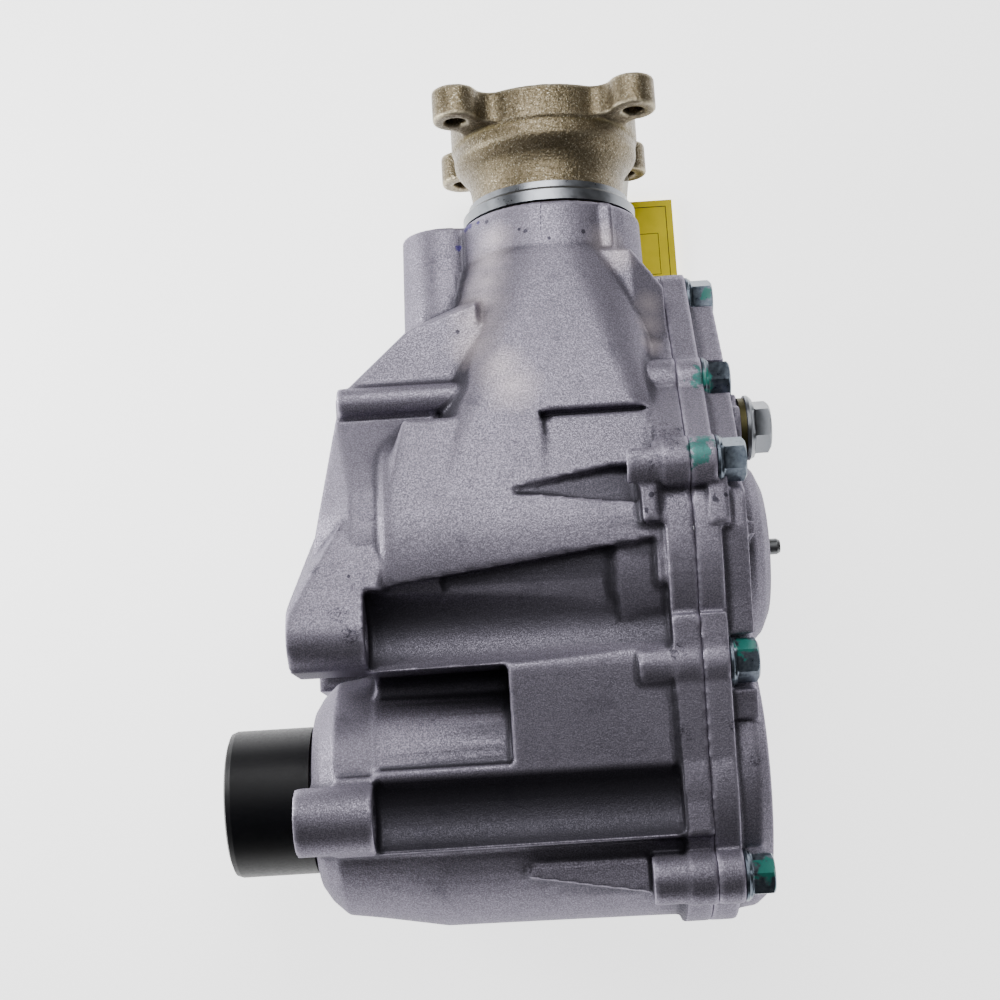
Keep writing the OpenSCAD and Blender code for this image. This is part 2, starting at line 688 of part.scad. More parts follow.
module input_bearing_cups() { color("SlateGray") input_bearings() cup(input_brg); }
module input_bearing_cones() { color("SlateGray") input_bearings() race(input_brg); }
module input_bearing_rollers() { color("Silver") input_bearings() rollers(input_brg); }
module shaft_bearing_cups() { color("SlateGray") shaft_bearings() cup(shaft_brg); }
module shaft_bearing_cones() { color("SlateGray") shaft_bearings() race(shaft_brg); }
module shaft_bearing_rollers() { color("Silver") shaft_bearings() rollers(shaft_brg); }

module at_head() {
  translate([output_x, head_brg_y + head_brg[3], 0]) rotate([90, 0, 0]) children();
}

module at_tail() {
  translate([output_x, tail_brg_y, 0]) rotate([-90, 0, 0]) children();
}

module output_bearing_cups() {
  color("SlateGray") {
    at_head() cup(head_brg);
    at_tail() cup(tail_brg);
  }
}

module output_bearing_cones() {
  color("SlateGray") {
    at_head() race(head_brg);
    at_tail() race(tail_brg);
  }
}

module output_bearing_rollers() {
  color("Silver") {
    at_head() rollers(head_brg);
    at_tail() rollers(tail_brg);
  }
}

module pilot_o_ring() {
  color("Black") translate([oring_x, 0, 0]) rotate([0, 90, 0])
    rotate_extrude() translate([pilot_r - oring_groove_t + oring_r + 0.03, 0])
      circle(r = oring_r, $fn = 24);
}

// Involute of a flank, in degrees
function inv(a) = tan(a) * 180 / PI - a;

// Half the angle a spur tooth fills at radius r
function half_tooth(teeth, mod, r, play) =
  let (pitch = mod * teeth / 2, base = pitch * cos(press_angle))
  90 / teeth - play / 4 / pitch * 180 / PI + inv(press_angle)
    - (r > base ? inv(acos(base / r)) : 0);

// Spur gear outline with one tooth centred at the phase angle
function spur_points(teeth, mod, play, phase) =
  let (pitch = mod * teeth / 2, root = pitch - 1.25 * mod,
    radii = [root, pitch - 0.75 * mod, pitch - 0.2 * mod, pitch + 0.45 * mod, pitch + mod],
    last = len(radii) - 1)
  [for (i = [0 : teeth - 1]) for (k = [0 : 2 * last + 1])
    let (up = k <= last, r = radii[up ? k : 2 * last + 1 - k],
      a = phase + i * 360 / teeth + (up ? -1 : 1) * half_tooth(teeth, mod, r, play))
    [r * cos(a), r * sin(a)]];

module input_gear() {
  color("LightSlateGray") translate([spur_x, 0, 0]) rotate([0, 90, 0]) difference() {
    linear_extrude(spur_width) polygon(spur_points(input_teeth, spur_module, spur_backlash, 90));
    translate([0, 0, -over]) cylinder(h = spur_width + 2 * over, r = gear_seat_r);
  }
}

module driven_gear() {
  width = spur_width - 2;
  color("LightSlateGray") translate([spur_x + 1, gear_y, 0]) rotate([0, 90, 0]) difference() {
    linear_extrude(width)
      polygon(spur_points(driven_teeth, spur_module, spur_backlash, 270 + 180 / driven_teeth));
    translate([0, 0, -over]) cylinder(h = width + 2 * over, r = mid_r + 2);
    // Turned recess that lightens the web on each side
    for (z = [-over, width - 5]) translate([0, 0, z]) difference() {
      cylinder(h = 5 + over, r = driven_pitch_r - 9);
      translate([0, 0, -over]) cylinder(h = 5 + 3 * over, r = mid_r + 9);
    }
  }
}

// Bevel tooth stations: cone angle and half tooth angle from the virtual spur gear
function bevel_stations(teeth, cone) =
  let (pitch = cone_len * tan(cone), base = pitch * cos(press_angle), virtual = teeth / cos(cone))
  [for (step = [-1, -0.5, 0, 0.4, 0.8])
    let (r = pitch + step * bevel_module, tilt = atan(step * bevel_module / cone_len),
      turn = 90 / virtual - bevel_backlash / 4 / pitch * 180 / PI + inv(press_angle)
        - (r > base ? inv(acos(base / r)) : 0))
    [cone + tilt, turn * r * cos(tilt) / (cone_len * sin(cone + tilt))]];

function on_cone(len, angle, turn) =
  [len * sin(angle) * cos(turn), len * sin(angle) * sin(turn), len * cos(angle)];

function bevel_loop(teeth, cone, phase, dist) =
  let (st = bevel_stations(teeth, cone), last = len(st) - 1)
  [for (i = [0 : teeth - 1]) for (k = [0 : 2 * last + 1])
    let (up = k <= last, s = st[up ? k : 2 * last + 1 - k])
    on_cone(dist, s[0], phase + i * 360 / teeth + (up ? -1 : 1) * s[1])];

// Toothed bevel blank with its apex at the origin and its axis along +Z
module bevel_teeth(teeth, cone, phase) {
  far = bevel_loop(teeth, cone, phase, cone_len);
  near = bevel_loop(teeth, cone, phase, cone_len - bevel_face);
  n = len(far);
  root = bevel_stations(teeth, cone)[0][0];
  polyhedron(
    points = concat(far, near, [[0, 0, cone_len * cos(root)],
      [0, 0, (cone_len - bevel_face) * cos(root)]]),
    faces = concat(
      [for (i = [0 : n - 1]) [i, (i + 1) % n, n + (i + 1) % n, n + i]],
      [for (i = [0 : n - 1]) [2 * n, (i + 1) % n, i]],
      [for (i = [0 : n - 1]) [2 * n + 1, n + i, n + (i + 1) % n]]));
}

module ring_gear() {
  root = bevel_stations(ring_teeth, ring_cone)[0][0];
  back = ring_back_x - output_x;
  color("LightSlateGray") translate([output_x, gear_y, 0]) rotate([0, 90, 0]) difference() {
    union() {
      bevel_teeth(ring_teeth, ring_cone, 90 + 180 / ring_teeth);
      translate([0, 0, cone_len * cos(root) - 0.01])
        cylinder(h = back - cone_len * cos(root) + 0.01, r = cone_len * sin(root) - 0.4);
    }
    cylinder(h = 2 * back, r = ring_bore_r);
    for (i = [0 : ring_bolt_count - 1]) rotate([0, 0, i * 360 / ring_bolt_count])
      translate([ring_bolt_pcr, 0, back - ring_bolt_grip - 1])
        cylinder(h = ring_bolt_grip + 2, r = ring_bolt_r, $fn = 24);
  }
}

module ring_gear_bolts() {
  seat = ring_back_x + mid_flange_t;
  color("DimGray") translate([0, gear_y, 0]) for (i = [0 : ring_bolt_count - 1])
    rotate([i * 360 / ring_bolt_count, 0, 0]) translate([0, 0, -ring_bolt_pcr]) {
      bar_x(ring_back_x - ring_bolt_grip, seat, ring_bolt_r);
      translate([seat, 0, 0]) rotate([0, 90, 0])
        cylinder(h = ring_bolt_head_t, r = ring_bolt_head_r, $fn = 6);
    }
}

module intermediate_shaft() {
  end = shaft_brg2_x + shaft_brg[3] - 1;
  color("Gray") difference() {
    turned_x([[0, shaft_brg_x + 1], [shaft_brg[0], shaft_brg_x + 1],
      [shaft_brg[0], shaft_brg_x + shaft_brg[3]], [mid_r + 2, shaft_brg_x + shaft_brg[3] + 0.5],
      [mid_r + 2, spur_x + 1], [mid_r + 2, spur_x + spur_width - 1],
      [mid_r + 5, spur_x + spur_width - 1], [mid_r + 5, spur_x + spur_width + 4],
      [mid_r, spur_x + spur_width + 4], [mid_r, ring_back_x - 18], [ring_bore_r, ring_back_x - 18],
      [ring_bore_r, ring_back_x], [mid_flange_r, ring_back_x],
      [mid_flange_r, ring_back_x + mid_flange_t], [mid_r + 2, ring_back_x + mid_flange_t],
      [mid_r + 2, shaft_brg2_x - 0.5], [shaft_brg[0], shaft_brg2_x], [shaft_brg[0], end],
      [0, end]], gear_y);
    translate([0, gear_y, 0]) for (i = [0 : ring_bolt_count - 1])
      rotate([i * 360 / ring_bolt_count, 0, 0]) translate([0, 0, -ring_bolt_pcr])
        bar_x(ring_back_x - over, ring_back_x + mid_flange_t + over, ring_bolt_r);
    // Oil drilling from the left end
    bar_x(shaft_brg_x, shaft_brg_x + 60, 7, gear_y);
  }
}

module gear_snap_ring() {
  x = spur_x + spur_width;
  color("DimGray") translate([x, 0, 0]) rotate([0, 90, 0]) difference() {
    cylinder(h = 2, r = gear_seat_r + 3);
    translate([0, 0, -over]) cylinder(h = 2 + 2 * over, r = gear_seat_r - 1.2);
    translate([gear_seat_r - 3, -3, -over]) cube([8, 6, 2 + 2 * over]);
  }
}

module input_shaft() {
  groove = spur_x + spur_width;
  color("Gray") difference() {
    union() {
      turned_x([[0, input_end_x], [spline_r - 2.2, input_end_x], [spline_r - 2.2, -8],
        [seal_land_r, -6], [seal_land_r, input_brg_x - 4], [input_brg[0], input_brg_x - 2],
        [input_brg[0], input_brg_x + input_brg[3]], [gear_seat_r + 3, input_brg_x + input_brg[3]],
        [gear_seat_r + 3, spur_x], [gear_seat_r, spur_x], [gear_seat_r, groove],
        [gear_seat_r - 1.2, groove], [gear_seat_r - 1.2, groove + 2], [gear_seat_r, groove + 2],
        [gear_seat_r, groove + 6], [gear_seat_r - 2, groove + 8], [gear_seat_r - 2, input_brg2_x],
        [input_brg[0], input_brg2_x], [input_brg[0], input_brg2_x + input_brg[3]],
        [0, input_brg2_x + input_brg[3]]]);
      // Outer splines that enter the transaxle
      translate([input_end_x, 0, 0]) rotate([0, 90, 0]) linear_extrude(spline_len) polygon(
        [for (i = [0 : spline_teeth - 1]) for (k = [0 : 3])
          let (a = (i + [0.02, 0.25, 0.5, 0.73][k]) * 360 / spline_teeth,
            r = k == 1 || k == 2 ? spline_r : spline_r - 2)
          [r * cos(a), r * sin(a)]]);
    }
    // Bore the half shaft runs through
    bar_x(input_end_x - over, input_brg2_x + input_brg[3] + over, half_shaft_r);
  }
}

module pinion_shaft() {
  root = bevel_stations(pinion_teeth, pinion_cone)[0][0];
  head = gear_y + cone_len * cos(root);
  nose_end = gear_y + (cone_len - bevel_face) * cos(root);
  neck_r = cone_len * sin(root) - 1.5;
  color("Gray") union() {
    translate([output_x, gear_y, 0]) rotate([-90, 0, 0])
      bevel_teeth(pinion_teeth, pinion_cone, 0);
    turned_y([[0, nose_end + 2], [neck_r / 2, nose_end + 2], [neck_r / 2, head - 2],
      [neck_r, head - 2], [neck_r, head + 2], [head_brg[0] + 4, head + 2],
      [head_brg[0] + 4, head_brg_y],
      [head_brg[0], head_brg_y], [head_brg[0], head_brg_y + head_brg[3] + 1],
      [tail_brg[0], head_brg_y + head_brg[3] + 3], [tail_brg[0], hub_y - 0.5],
      [stub_r, hub_y - 0.5], [stub_r, nut_seat_y + nut_h + 5], [0, nut_seat_y + nut_h + 5]],
      output_x);
  }
}

module crush_sleeve() {
  y0 = head_brg_y + head_brg[3];
  mid = (y0 + tail_brg_y) / 2;
  r = head_brg[0];
  color("DarkGray") turned_y([[r + 0.2, y0], [r + spacer_t, y0], [r + spacer_t, mid - 6],
    [r + spacer_t + 2, mid], [r + spacer_t, mid + 6], [r + spacer_t, tail_brg_y],
    [r + 0.2, tail_brg_y], [r + 0.2, mid + 6], [r + 2.2, mid], [r + 0.2, mid - 6]], output_x);
}

// Four-lobed outline of the flange plate
module flange_outline() {
  h = flange_square / 2;
  offset(r = -lobe_fillet, $fn = 48) offset(delta = lobe_fillet) {
    circle(r = flange_disc_r + 1);
    for (x = [-h, h]) for (y = [-h, h]) translate([x, y]) circle(r = lobe_r);
  }
}

module output_flange() {
  h = flange_square / 2;
  neck_y = nose_y + 9;
  color("DarkKhaki") difference() {
    union() {
      translate([output_x, flange_y, 0]) rotate([-90, 0, 0]) linear_extrude(flange_t)
        flange_outline();
      // Round rim, trumpet, neck and hub in one turned profile
      turned_y([[0, hub_y], [hub_r, hub_y], [hub_r, nose_y + 2], [flange_neck_r, nose_y + 2],
        [flange_neck_r, neck_y + 6], [flange_neck_r + 0.8, neck_y + 11],
        [flange_neck_r + 2.4, neck_y + 15], [flange_neck_r + 5, neck_y + 18],
        [flange_disc_r - 0.5, neck_y + 20], [flange_disc_r, neck_y + 21.5],
        [flange_disc_r, flange_y + 1], [0, flange_y + 1]], output_x);
    }
    // Pilot recess and nut well in the outer face
    bar_y(flange_y + flange_t - 3, flange_y + flange_t + over, 30, output_x);
    bar_y(nut_seat_y, flange_y + flange_t + over, 21, output_x);
    // Splined bore, drawn plain
    bar_y(hub_y - over, nut_seat_y + over, stub_r, output_x);
    for (x = [-h, h]) for (z = [-h, h])
      bar_y(flange_y - over, flange_y + flange_t + over, flange_hole_r, output_x + x, z);
  }
}

module dust_ring() {
  y0 = nose_y + 1;
  color("Gainsboro") turned_y([[flange_neck_r, y0 + 4], [dust_ring_r - 1.6, y0 + 4],
    [dust_ring_r - 1.6, y0], [dust_ring_r, y0], [dust_ring_r, y0 + 4.5],
    [dust_ring_r - 1.5, y0 + 6], [flange_neck_r + 2, y0 + 6], [flange_neck_r + 2, y0 + 9],
    [flange_neck_r, y0 + 9]], output_x);
}

module nut_washer() {
  color("Gainsboro") translate([output_x, nut_seat_y, 0]) rotate([-90, 0, 0]) difference() {
    cylinder(h = 2, r = 16);
    translate([0, 0, -over]) cylinder(h = 2 + 2 * over, r = stub_r);
  }
}

module flange_nut() {
  color("LightSteelBlue") translate([output_x, nut_seat_y + 2, 0]) rotate([-90, 0, 0])
    difference() {
      cylinder(h = nut_h, r = nut_af / sqrt(3), $fn = 6);
      translate([0, 0, -over]) cylinder(h = nut_h + 2 * over, r = stub_r);
    }
}

module input_cap() {
  end = cap_x + cap_len;
  color("Black") turned_x([[0, cap_x], [cap_r - 3, cap_x], [cap_r - 0.8, cap_x + 0.9],
    [cap_r, cap_x + 3], [cap_r, end], [cap_r - cap_wall, end], [cap_r - cap_wall, cap_x + 4],
    [cap_r - cap_wall - 1.5, cap_x + cap_wall], [0, cap_x + cap_wall]]);
}

module hang_tag() {
  hole_x = output_x + flange_square / 2;
  color("Gold") translate([0, 0, tag_z - tag_t / 2]) linear_extrude(tag_t) difference() {
    translate([tag_right - tag_w, tag_top - tag_h]) square([tag_w, tag_h]);
    translate([hole_x, tag_hole_y]) circle(r = 3, $fn = 24);
  }
}

// Thin strap over the wall of the far right flange hole, its ends meeting at the tag
module tag_tie() {
  hole_z = -flange_square / 2;
  hole_x = output_x + flange_square / 2;
  eye = flange_hole_r - 0.07;
  half_turn = asin((tie_w / 2 - 0.2) / eye);
  inner = flange_y - 1;
  outer = flange_y + flange_t + 1;
  top_z = hole_z - eye + tie_t + 0.03;
  color("White") union() {
    // Part that lies in the hole, curved to its wall
    translate([hole_x, inner - tie_t / 2, hole_z]) rotate([-90, 0, 0])
      rotate([0, 0, 90 - half_turn]) rotate_extrude(angle = 2 * half_turn)
        translate([eye - tie_t, 0]) square([tie_t, outer - inner + tie_t]);
    // Two legs down to the tag and a short fold under its hole
    translate([hole_x - tie_w / 2, 0, 0]) rotate([90, 0, 90]) linear_extrude(tie_w) polygon([
      [inner - tie_t, top_z], [inner, top_z], [inner, hole_z - 12],
      [tag_hole_y - 1, tag_z - 1], [tag_hole_y + 1, tag_z - 1], [outer, hole_z - 14],
      [outer, top_z], [outer + tie_t, top_z], [outer + tie_t, hole_z - 14],
      [tag_hole_y + 1.2, tag_z - 1.5], [tag_hole_y - 1.4, tag_z - 1.5],
      [inner - tie_t, hole_z - 12]]);
  }
}

main_case();
side_cover();
cover_bolts();
dowel_pins();
breather();
plug_washer();
fill_plug();
input_seal_ring();
half_shaft_seal();
output_seal_ring();
input_bearing_cups();
shaft_bearing_cups();
output_bearing_cups();
pilot_o_ring();
input_shaft();
input_gear();
input_bearing_cones();
input_bearing_rollers();
gear_snap_ring();
intermediate_shaft();
driven_gear();
ring_gear();
ring_gear_bolts();
shaft_bearing_cones();
shaft_bearing_rollers();
pinion_shaft();
output_bearing_cones();
output_bearing_rollers();
crush_sleeve();
output_flange();
dust_ring();
flange_nut();
nut_washer();
input_cap();
hang_tag();
tag_tie();
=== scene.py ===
# %% [markdown]
# Power take-off unit, built on the packed CAD frame
# The unit turns the drive of a transaxle through 90 degrees towards a rear axle. Its solids come
# from the CAD, with sharp edges and plain surfaces. This file dresses them: it rounds the castings,
# turns the fasteners, gives every surface its material, and sets the light and the camera of the
# photograph. All lengths are metres, and MM turns millimetres into them.

import json
import math

import bmesh
import bpy
import numpy as np
from mathutils import Matrix, Vector

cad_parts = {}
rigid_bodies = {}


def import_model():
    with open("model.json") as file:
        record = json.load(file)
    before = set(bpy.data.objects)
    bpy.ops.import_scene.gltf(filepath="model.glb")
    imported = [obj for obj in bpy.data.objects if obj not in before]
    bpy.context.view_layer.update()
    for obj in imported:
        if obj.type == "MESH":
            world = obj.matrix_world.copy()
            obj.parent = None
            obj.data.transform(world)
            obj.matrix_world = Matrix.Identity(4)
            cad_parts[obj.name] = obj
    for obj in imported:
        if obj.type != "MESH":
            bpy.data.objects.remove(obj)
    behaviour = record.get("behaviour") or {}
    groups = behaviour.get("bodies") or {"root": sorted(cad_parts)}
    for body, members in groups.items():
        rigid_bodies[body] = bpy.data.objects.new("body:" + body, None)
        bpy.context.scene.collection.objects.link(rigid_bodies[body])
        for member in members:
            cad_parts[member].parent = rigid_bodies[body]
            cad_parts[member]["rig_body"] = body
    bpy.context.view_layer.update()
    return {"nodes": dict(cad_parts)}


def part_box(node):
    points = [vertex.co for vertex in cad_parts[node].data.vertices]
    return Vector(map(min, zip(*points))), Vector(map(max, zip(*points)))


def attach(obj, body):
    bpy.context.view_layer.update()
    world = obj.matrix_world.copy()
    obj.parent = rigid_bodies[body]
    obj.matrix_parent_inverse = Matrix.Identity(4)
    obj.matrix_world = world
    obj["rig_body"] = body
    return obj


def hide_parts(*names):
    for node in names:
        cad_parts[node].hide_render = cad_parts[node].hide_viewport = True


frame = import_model()
nodes = frame["nodes"]
MM = 0.001

# %% [markdown]
# Several cells need the axis of the output, the corners of the tag or the height of the bench. They
# could be typed in, but they are read off the packed nodes, so that a change of size in the CAD
# carries over.

# %% Shared places
flange_lo, flange_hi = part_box("output_flange")
tag_lo, tag_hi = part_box("hang_tag")
floor_z = min(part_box(n)[0][2] for n in nodes)
output_x = (flange_lo[0] + flange_hi[0]) / 2
print("output axis at", round(output_x, 4), "floor at", round(floor_z, 4))

# %% [markdown]
# A shader is a tree of small steps. Each step could be made and wired by hand, which takes four or
# five lines. This helper makes a node, sets its plain inputs and wires the others, which keeps each
# material below short enough to read. Patterns use Object coordinates, so they stay where they are
# on a piece when it moves.

# %% Shader helper
class Tree:
    def __init__(self, name):
        self.mat = bpy.data.materials.new(name)
        self.mat.use_nodes = True
        self.nt = self.mat.node_tree
        self.nt.nodes.clear()
        self.out = self.nt.nodes.new("ShaderNodeOutputMaterial")
        self.bsdf = self.nt.nodes.new("ShaderNodeBsdfPrincipled")
        self.nt.links.new(self.bsdf.outputs[0], self.out.inputs[0])
        self.coord = self.nt.nodes.new("ShaderNodeTexCoord").outputs["Object"]

    def wire(self, socket, value):
        if isinstance(value, bpy.types.NodeSocket):
            self.nt.links.new(value, socket)
        else:
            socket.default_value = value

    def node(self, kind, inputs=None, **props):
        n = self.nt.nodes.new("ShaderNode" + kind)
        for key, value in props.items():
            setattr(n, key, value)
        for key, value in (inputs or {}).items():
            self.wire(n.inputs[key], value)
        return n

    def noise(self, scale, detail=3.0, rough=0.55):
        return self.node("TexNoise", {"Vector": self.coord, "Scale": scale,
                                      "Detail": detail, "Roughness": rough}).outputs["Fac"]

    def spread(self, value, lo, hi, a=0.0, b=1.0):
        """Turns the range lo to hi of a value into the range a to b, and stops at both ends."""
        return self.node("MapRange", {"Value": value, "From Min": lo, "From Max": hi,
                                      "To Min": a, "To Max": b}).outputs[0]

    def math(self, op, a, b=0.0):
        n = self.node("Math", operation=op)
        self.wire(n.inputs[0], a)
        self.wire(n.inputs[1], b)
        return n.outputs[0]

    def mix(self, fac, a, b):
        n = self.node("Mix", data_type="RGBA")
        self.wire(n.inputs["Factor"], fac)
        for socket, value in ((n.inputs[6], a), (n.inputs[7], b)):
            if isinstance(value, tuple):
                value = (*value, 1.0)
            self.wire(socket, value)
        return n.outputs[2]

    def layer(self, base, mask, start, full, most, colour):
        """Lays a colour over base: nothing where mask is at start, the most where it is at full."""
        return self.mix(self.spread(mask, start, full, 0.0, most), base, colour)

    def bump(self, height, strength, distance):
        return self.node("Bump", {"Height": height, "Strength": strength,
                                  "Distance": distance}).outputs[0]

    def stored(self, name):
        """A number kept at each point of a skin: its bend or how deep it lies in a hollow."""
        return self.node("Attribute", attribute_name=name).outputs["Fac"]

    def surface(self, **values):
        for key, value in values.items():
            if isinstance(value, tuple):
                value = (*value, 1.0)
            self.wire(self.bsdf.inputs[key.replace("_", " ")], value)
        return self.mat

def shade(tone, factor):
    """A colour made darker or lighter by a factor."""
    return tuple(min(1.0, channel * factor) for channel in tone)

print("shader steps:", [name for name in vars(Tree) if not name.startswith("_")])

# %% [markdown]
# A real unit carries marks from the shop: dabs of inspection paint, ink, pits and scuffs. A painted
# image could hold them, but it would need a picture file. Here each mark is a place on the front and
# a radius, and the shader asks how near a point lies to one. Noise makes the edge of the mark wander.
# The patches of painted sheen around the output nose are placed the same way.

# %% Marks by place
def near(t, spots, ragged=0.55, inner=0.7):
    """1 inside the inner share of any (x, y, radius) spot on the front, 0 past its edge."""
    front = t.node("VectorMath", {0: t.coord, 1: (1.0, 1.0, 0.0)}, operation="MULTIPLY")
    wander = t.spread(t.noise(330.0, 3.0), 0.3, 0.7, 1.0 - ragged, 1.0 + ragged)
    total = None
    for x, y, radius in spots:
        gap = t.node("VectorMath", {0: front.outputs[0], 1: (x, y, 0.0)}, operation="DISTANCE")
        wide = t.math("MULTIPLY", gap.outputs["Value"], wander)
        one = t.spread(wide, radius, radius * inner)
        total = one if total is None else t.math("MAXIMUM", total, one)
    height = t.node("SeparateXYZ", {0: t.coord}).outputs[2]
    return t.math("MULTIPLY", total, t.math("GREATER_THAN", height, 0.0))

CASTING_DABS = [
    (0.1632, 0.1222, 5.0 * MM), (0.1617, 0.1184, 3.0 * MM), (0.1680, 0.1570, 3.5 * MM)]
BOLT_DABS = [
    (0.1780, 0.2046, 2.5 * MM), (0.1700, 0.1570, 4.0 * MM), (0.1761, 0.0474, 4.5 * MM),
    (0.1784, -0.0380, 5.0 * MM)]
# Painted sheen: soft, lighter and warmer patches on faces around the output nose, standing in for
# light caught there.
PAINTED_SHEEN_SPOTS = [
    (0.0890, 0.2270, 9.0 * MM), (0.0865, 0.2180, 11.0 * MM), (0.0845, 0.2080, 12.0 * MM),
    (0.0820, 0.1980, 13.0 * MM), (0.0800, 0.1880, 13.0 * MM), (0.0780, 0.1780, 13.0 * MM),
    (0.1350, 0.2230, 9.0 * MM), (0.1400, 0.2150, 9.0 * MM), (0.1510, 0.1940, 7.0 * MM),
    (0.1510, 0.1850, 7.0 * MM), (0.1510, 0.1760, 6.0 * MM), (0.0920, 0.1580, 14.0 * MM),
    (0.0880, 0.1660, 13.0 * MM)]
INK = [(0.0776, 0.2383, 1.8 * MM), (0.0731, 0.2303, 1.4 * MM), (0.0822, 0.2372, 0.9 * MM)]
PITS = [
    (0.0861, 0.2359, 1.2 * MM), (0.0993, 0.2288, 1.1 * MM), (0.1018, 0.2274, 0.8 * MM),
    (0.1259, 0.2255, 0.8 * MM), (0.1115, 0.2233, 0.9 * MM), (0.0714, 0.1841, 1.1 * MM),
    (0.0248, 0.0827, 0.8 * MM), (0.1029, 0.1455, 1.0 * MM), (0.1435, 0.1062, 1.5 * MM),
    (0.1409, 0.1005, 1.1 * MM), (0.1676, 0.1030, 1.4 * MM), (0.1719, 0.1045, 1.3 * MM)]
SCUFFS = [
    (0.1495, 0.1318, 4.0 * MM), (0.1523, 0.1264, 4.5 * MM), (0.1560, 0.1334, 3.0 * MM),
    (0.1464, 0.1183, 3.0 * MM), (0.0130, 0.0984, 3.0 * MM), (0.0110, 0.0865, 3.0 * MM),
    (0.0202, 0.1032, 3.2 * MM), (0.0196, 0.0676, 3.5 * MM), (0.0256, 0.0593, 4.0 * MM),
    (0.1494, 0.0461, 3.6 * MM), (0.1494, 0.0158, 3.0 * MM), (0.1700, 0.0173, 3.0 * MM),
    (0.1773, 0.0035, 3.2 * MM)]
print("marks:", len(CASTING_DABS + BOLT_DABS + PAINTED_SHEEN_SPOTS + INK + PITS + SCUFFS))

# %% [markdown]
# Where the halves of the mould meet, a little metal leaks out and leaves a thin line down the front
# of the output nose, broken where it was knocked off. A ridge in the mesh would be thinner than a
# voxel of the skin, so the line is worked out in the shader, from the place of the point alone.

# %% Mould seam
SEAM_BESIDE_AXIS = 18.3 * MM
SEAM_HALF_WIDTH = 0.22 * MM
SEAM_LEAN = 0.06
SEAM_START_Y = 226.0 * MM
DASHES_PER_METRE = 420.0
DASH_GAP = 0.35

def mould_seam(t):
    """1 on the dashed flash line down the front of the output nose, else 0."""
    x, y, z = t.node("SeparateXYZ", {0: t.coord}).outputs
    middle = t.math("ADD", t.math("MULTIPLY", y, SEAM_LEAN), output_x - SEAM_BESIDE_AXIS)
    beside = t.math("ABSOLUTE", t.math("SUBTRACT", x, middle))
    line = t.math("LESS_THAN", beside, SEAM_HALF_WIDTH)
    run = t.math("MULTIPLY", t.math("GREATER_THAN", y, SEAM_START_Y), t.math("GREATER_THAN", z, 0.0))
    along = t.math("FRACT", t.math("MULTIPLY", y, DASHES_PER_METRE))
    dash = t.math("GREATER_THAN", along, DASH_GAP)
    return t.math("MULTIPLY", t.math("MULTIPLY", line, run), dash)

print("seam starts at y =", SEAM_START_Y)

# %% [markdown]
# The castings are shot-blasted aluminium: a grey skin with a faint violet cast and fine grain. Outer
# edges get a painted highlight, corners and hollows a painted shade, and some faces around the output
# nose a painted sheen. One flat colour would look like plastic. The skin is built up in layers
# instead, from the clean metal through the painted highlight and shade to the dirt and the marks,
# each where noise, the bend of the surface or a mark says.

# %% Cast aluminium
CAST = (0.192, 0.177, 0.220)
COVER_LIGHTER = 1.10
STAINS = 0.55
# Painted shade for concave corners.
CORNER_PAINTED_SHADE = (0.05, 0.048, 0.055)
# Painted shade for nooks and wide hollows.
HOLLOW_PAINTED_SHADE = (0.030, 0.029, 0.036)
SMEAR_DIRT = (0.030, 0.028, 0.040)
# Colour of the painted sheen around the output nose.
PAINTED_SHEEN_COLOUR = (0.46, 0.405, 0.435)
INK_BLUE = (0.020, 0.012, 0.11)
INSPECTION_GREEN = (0.012, 0.17, 0.14)

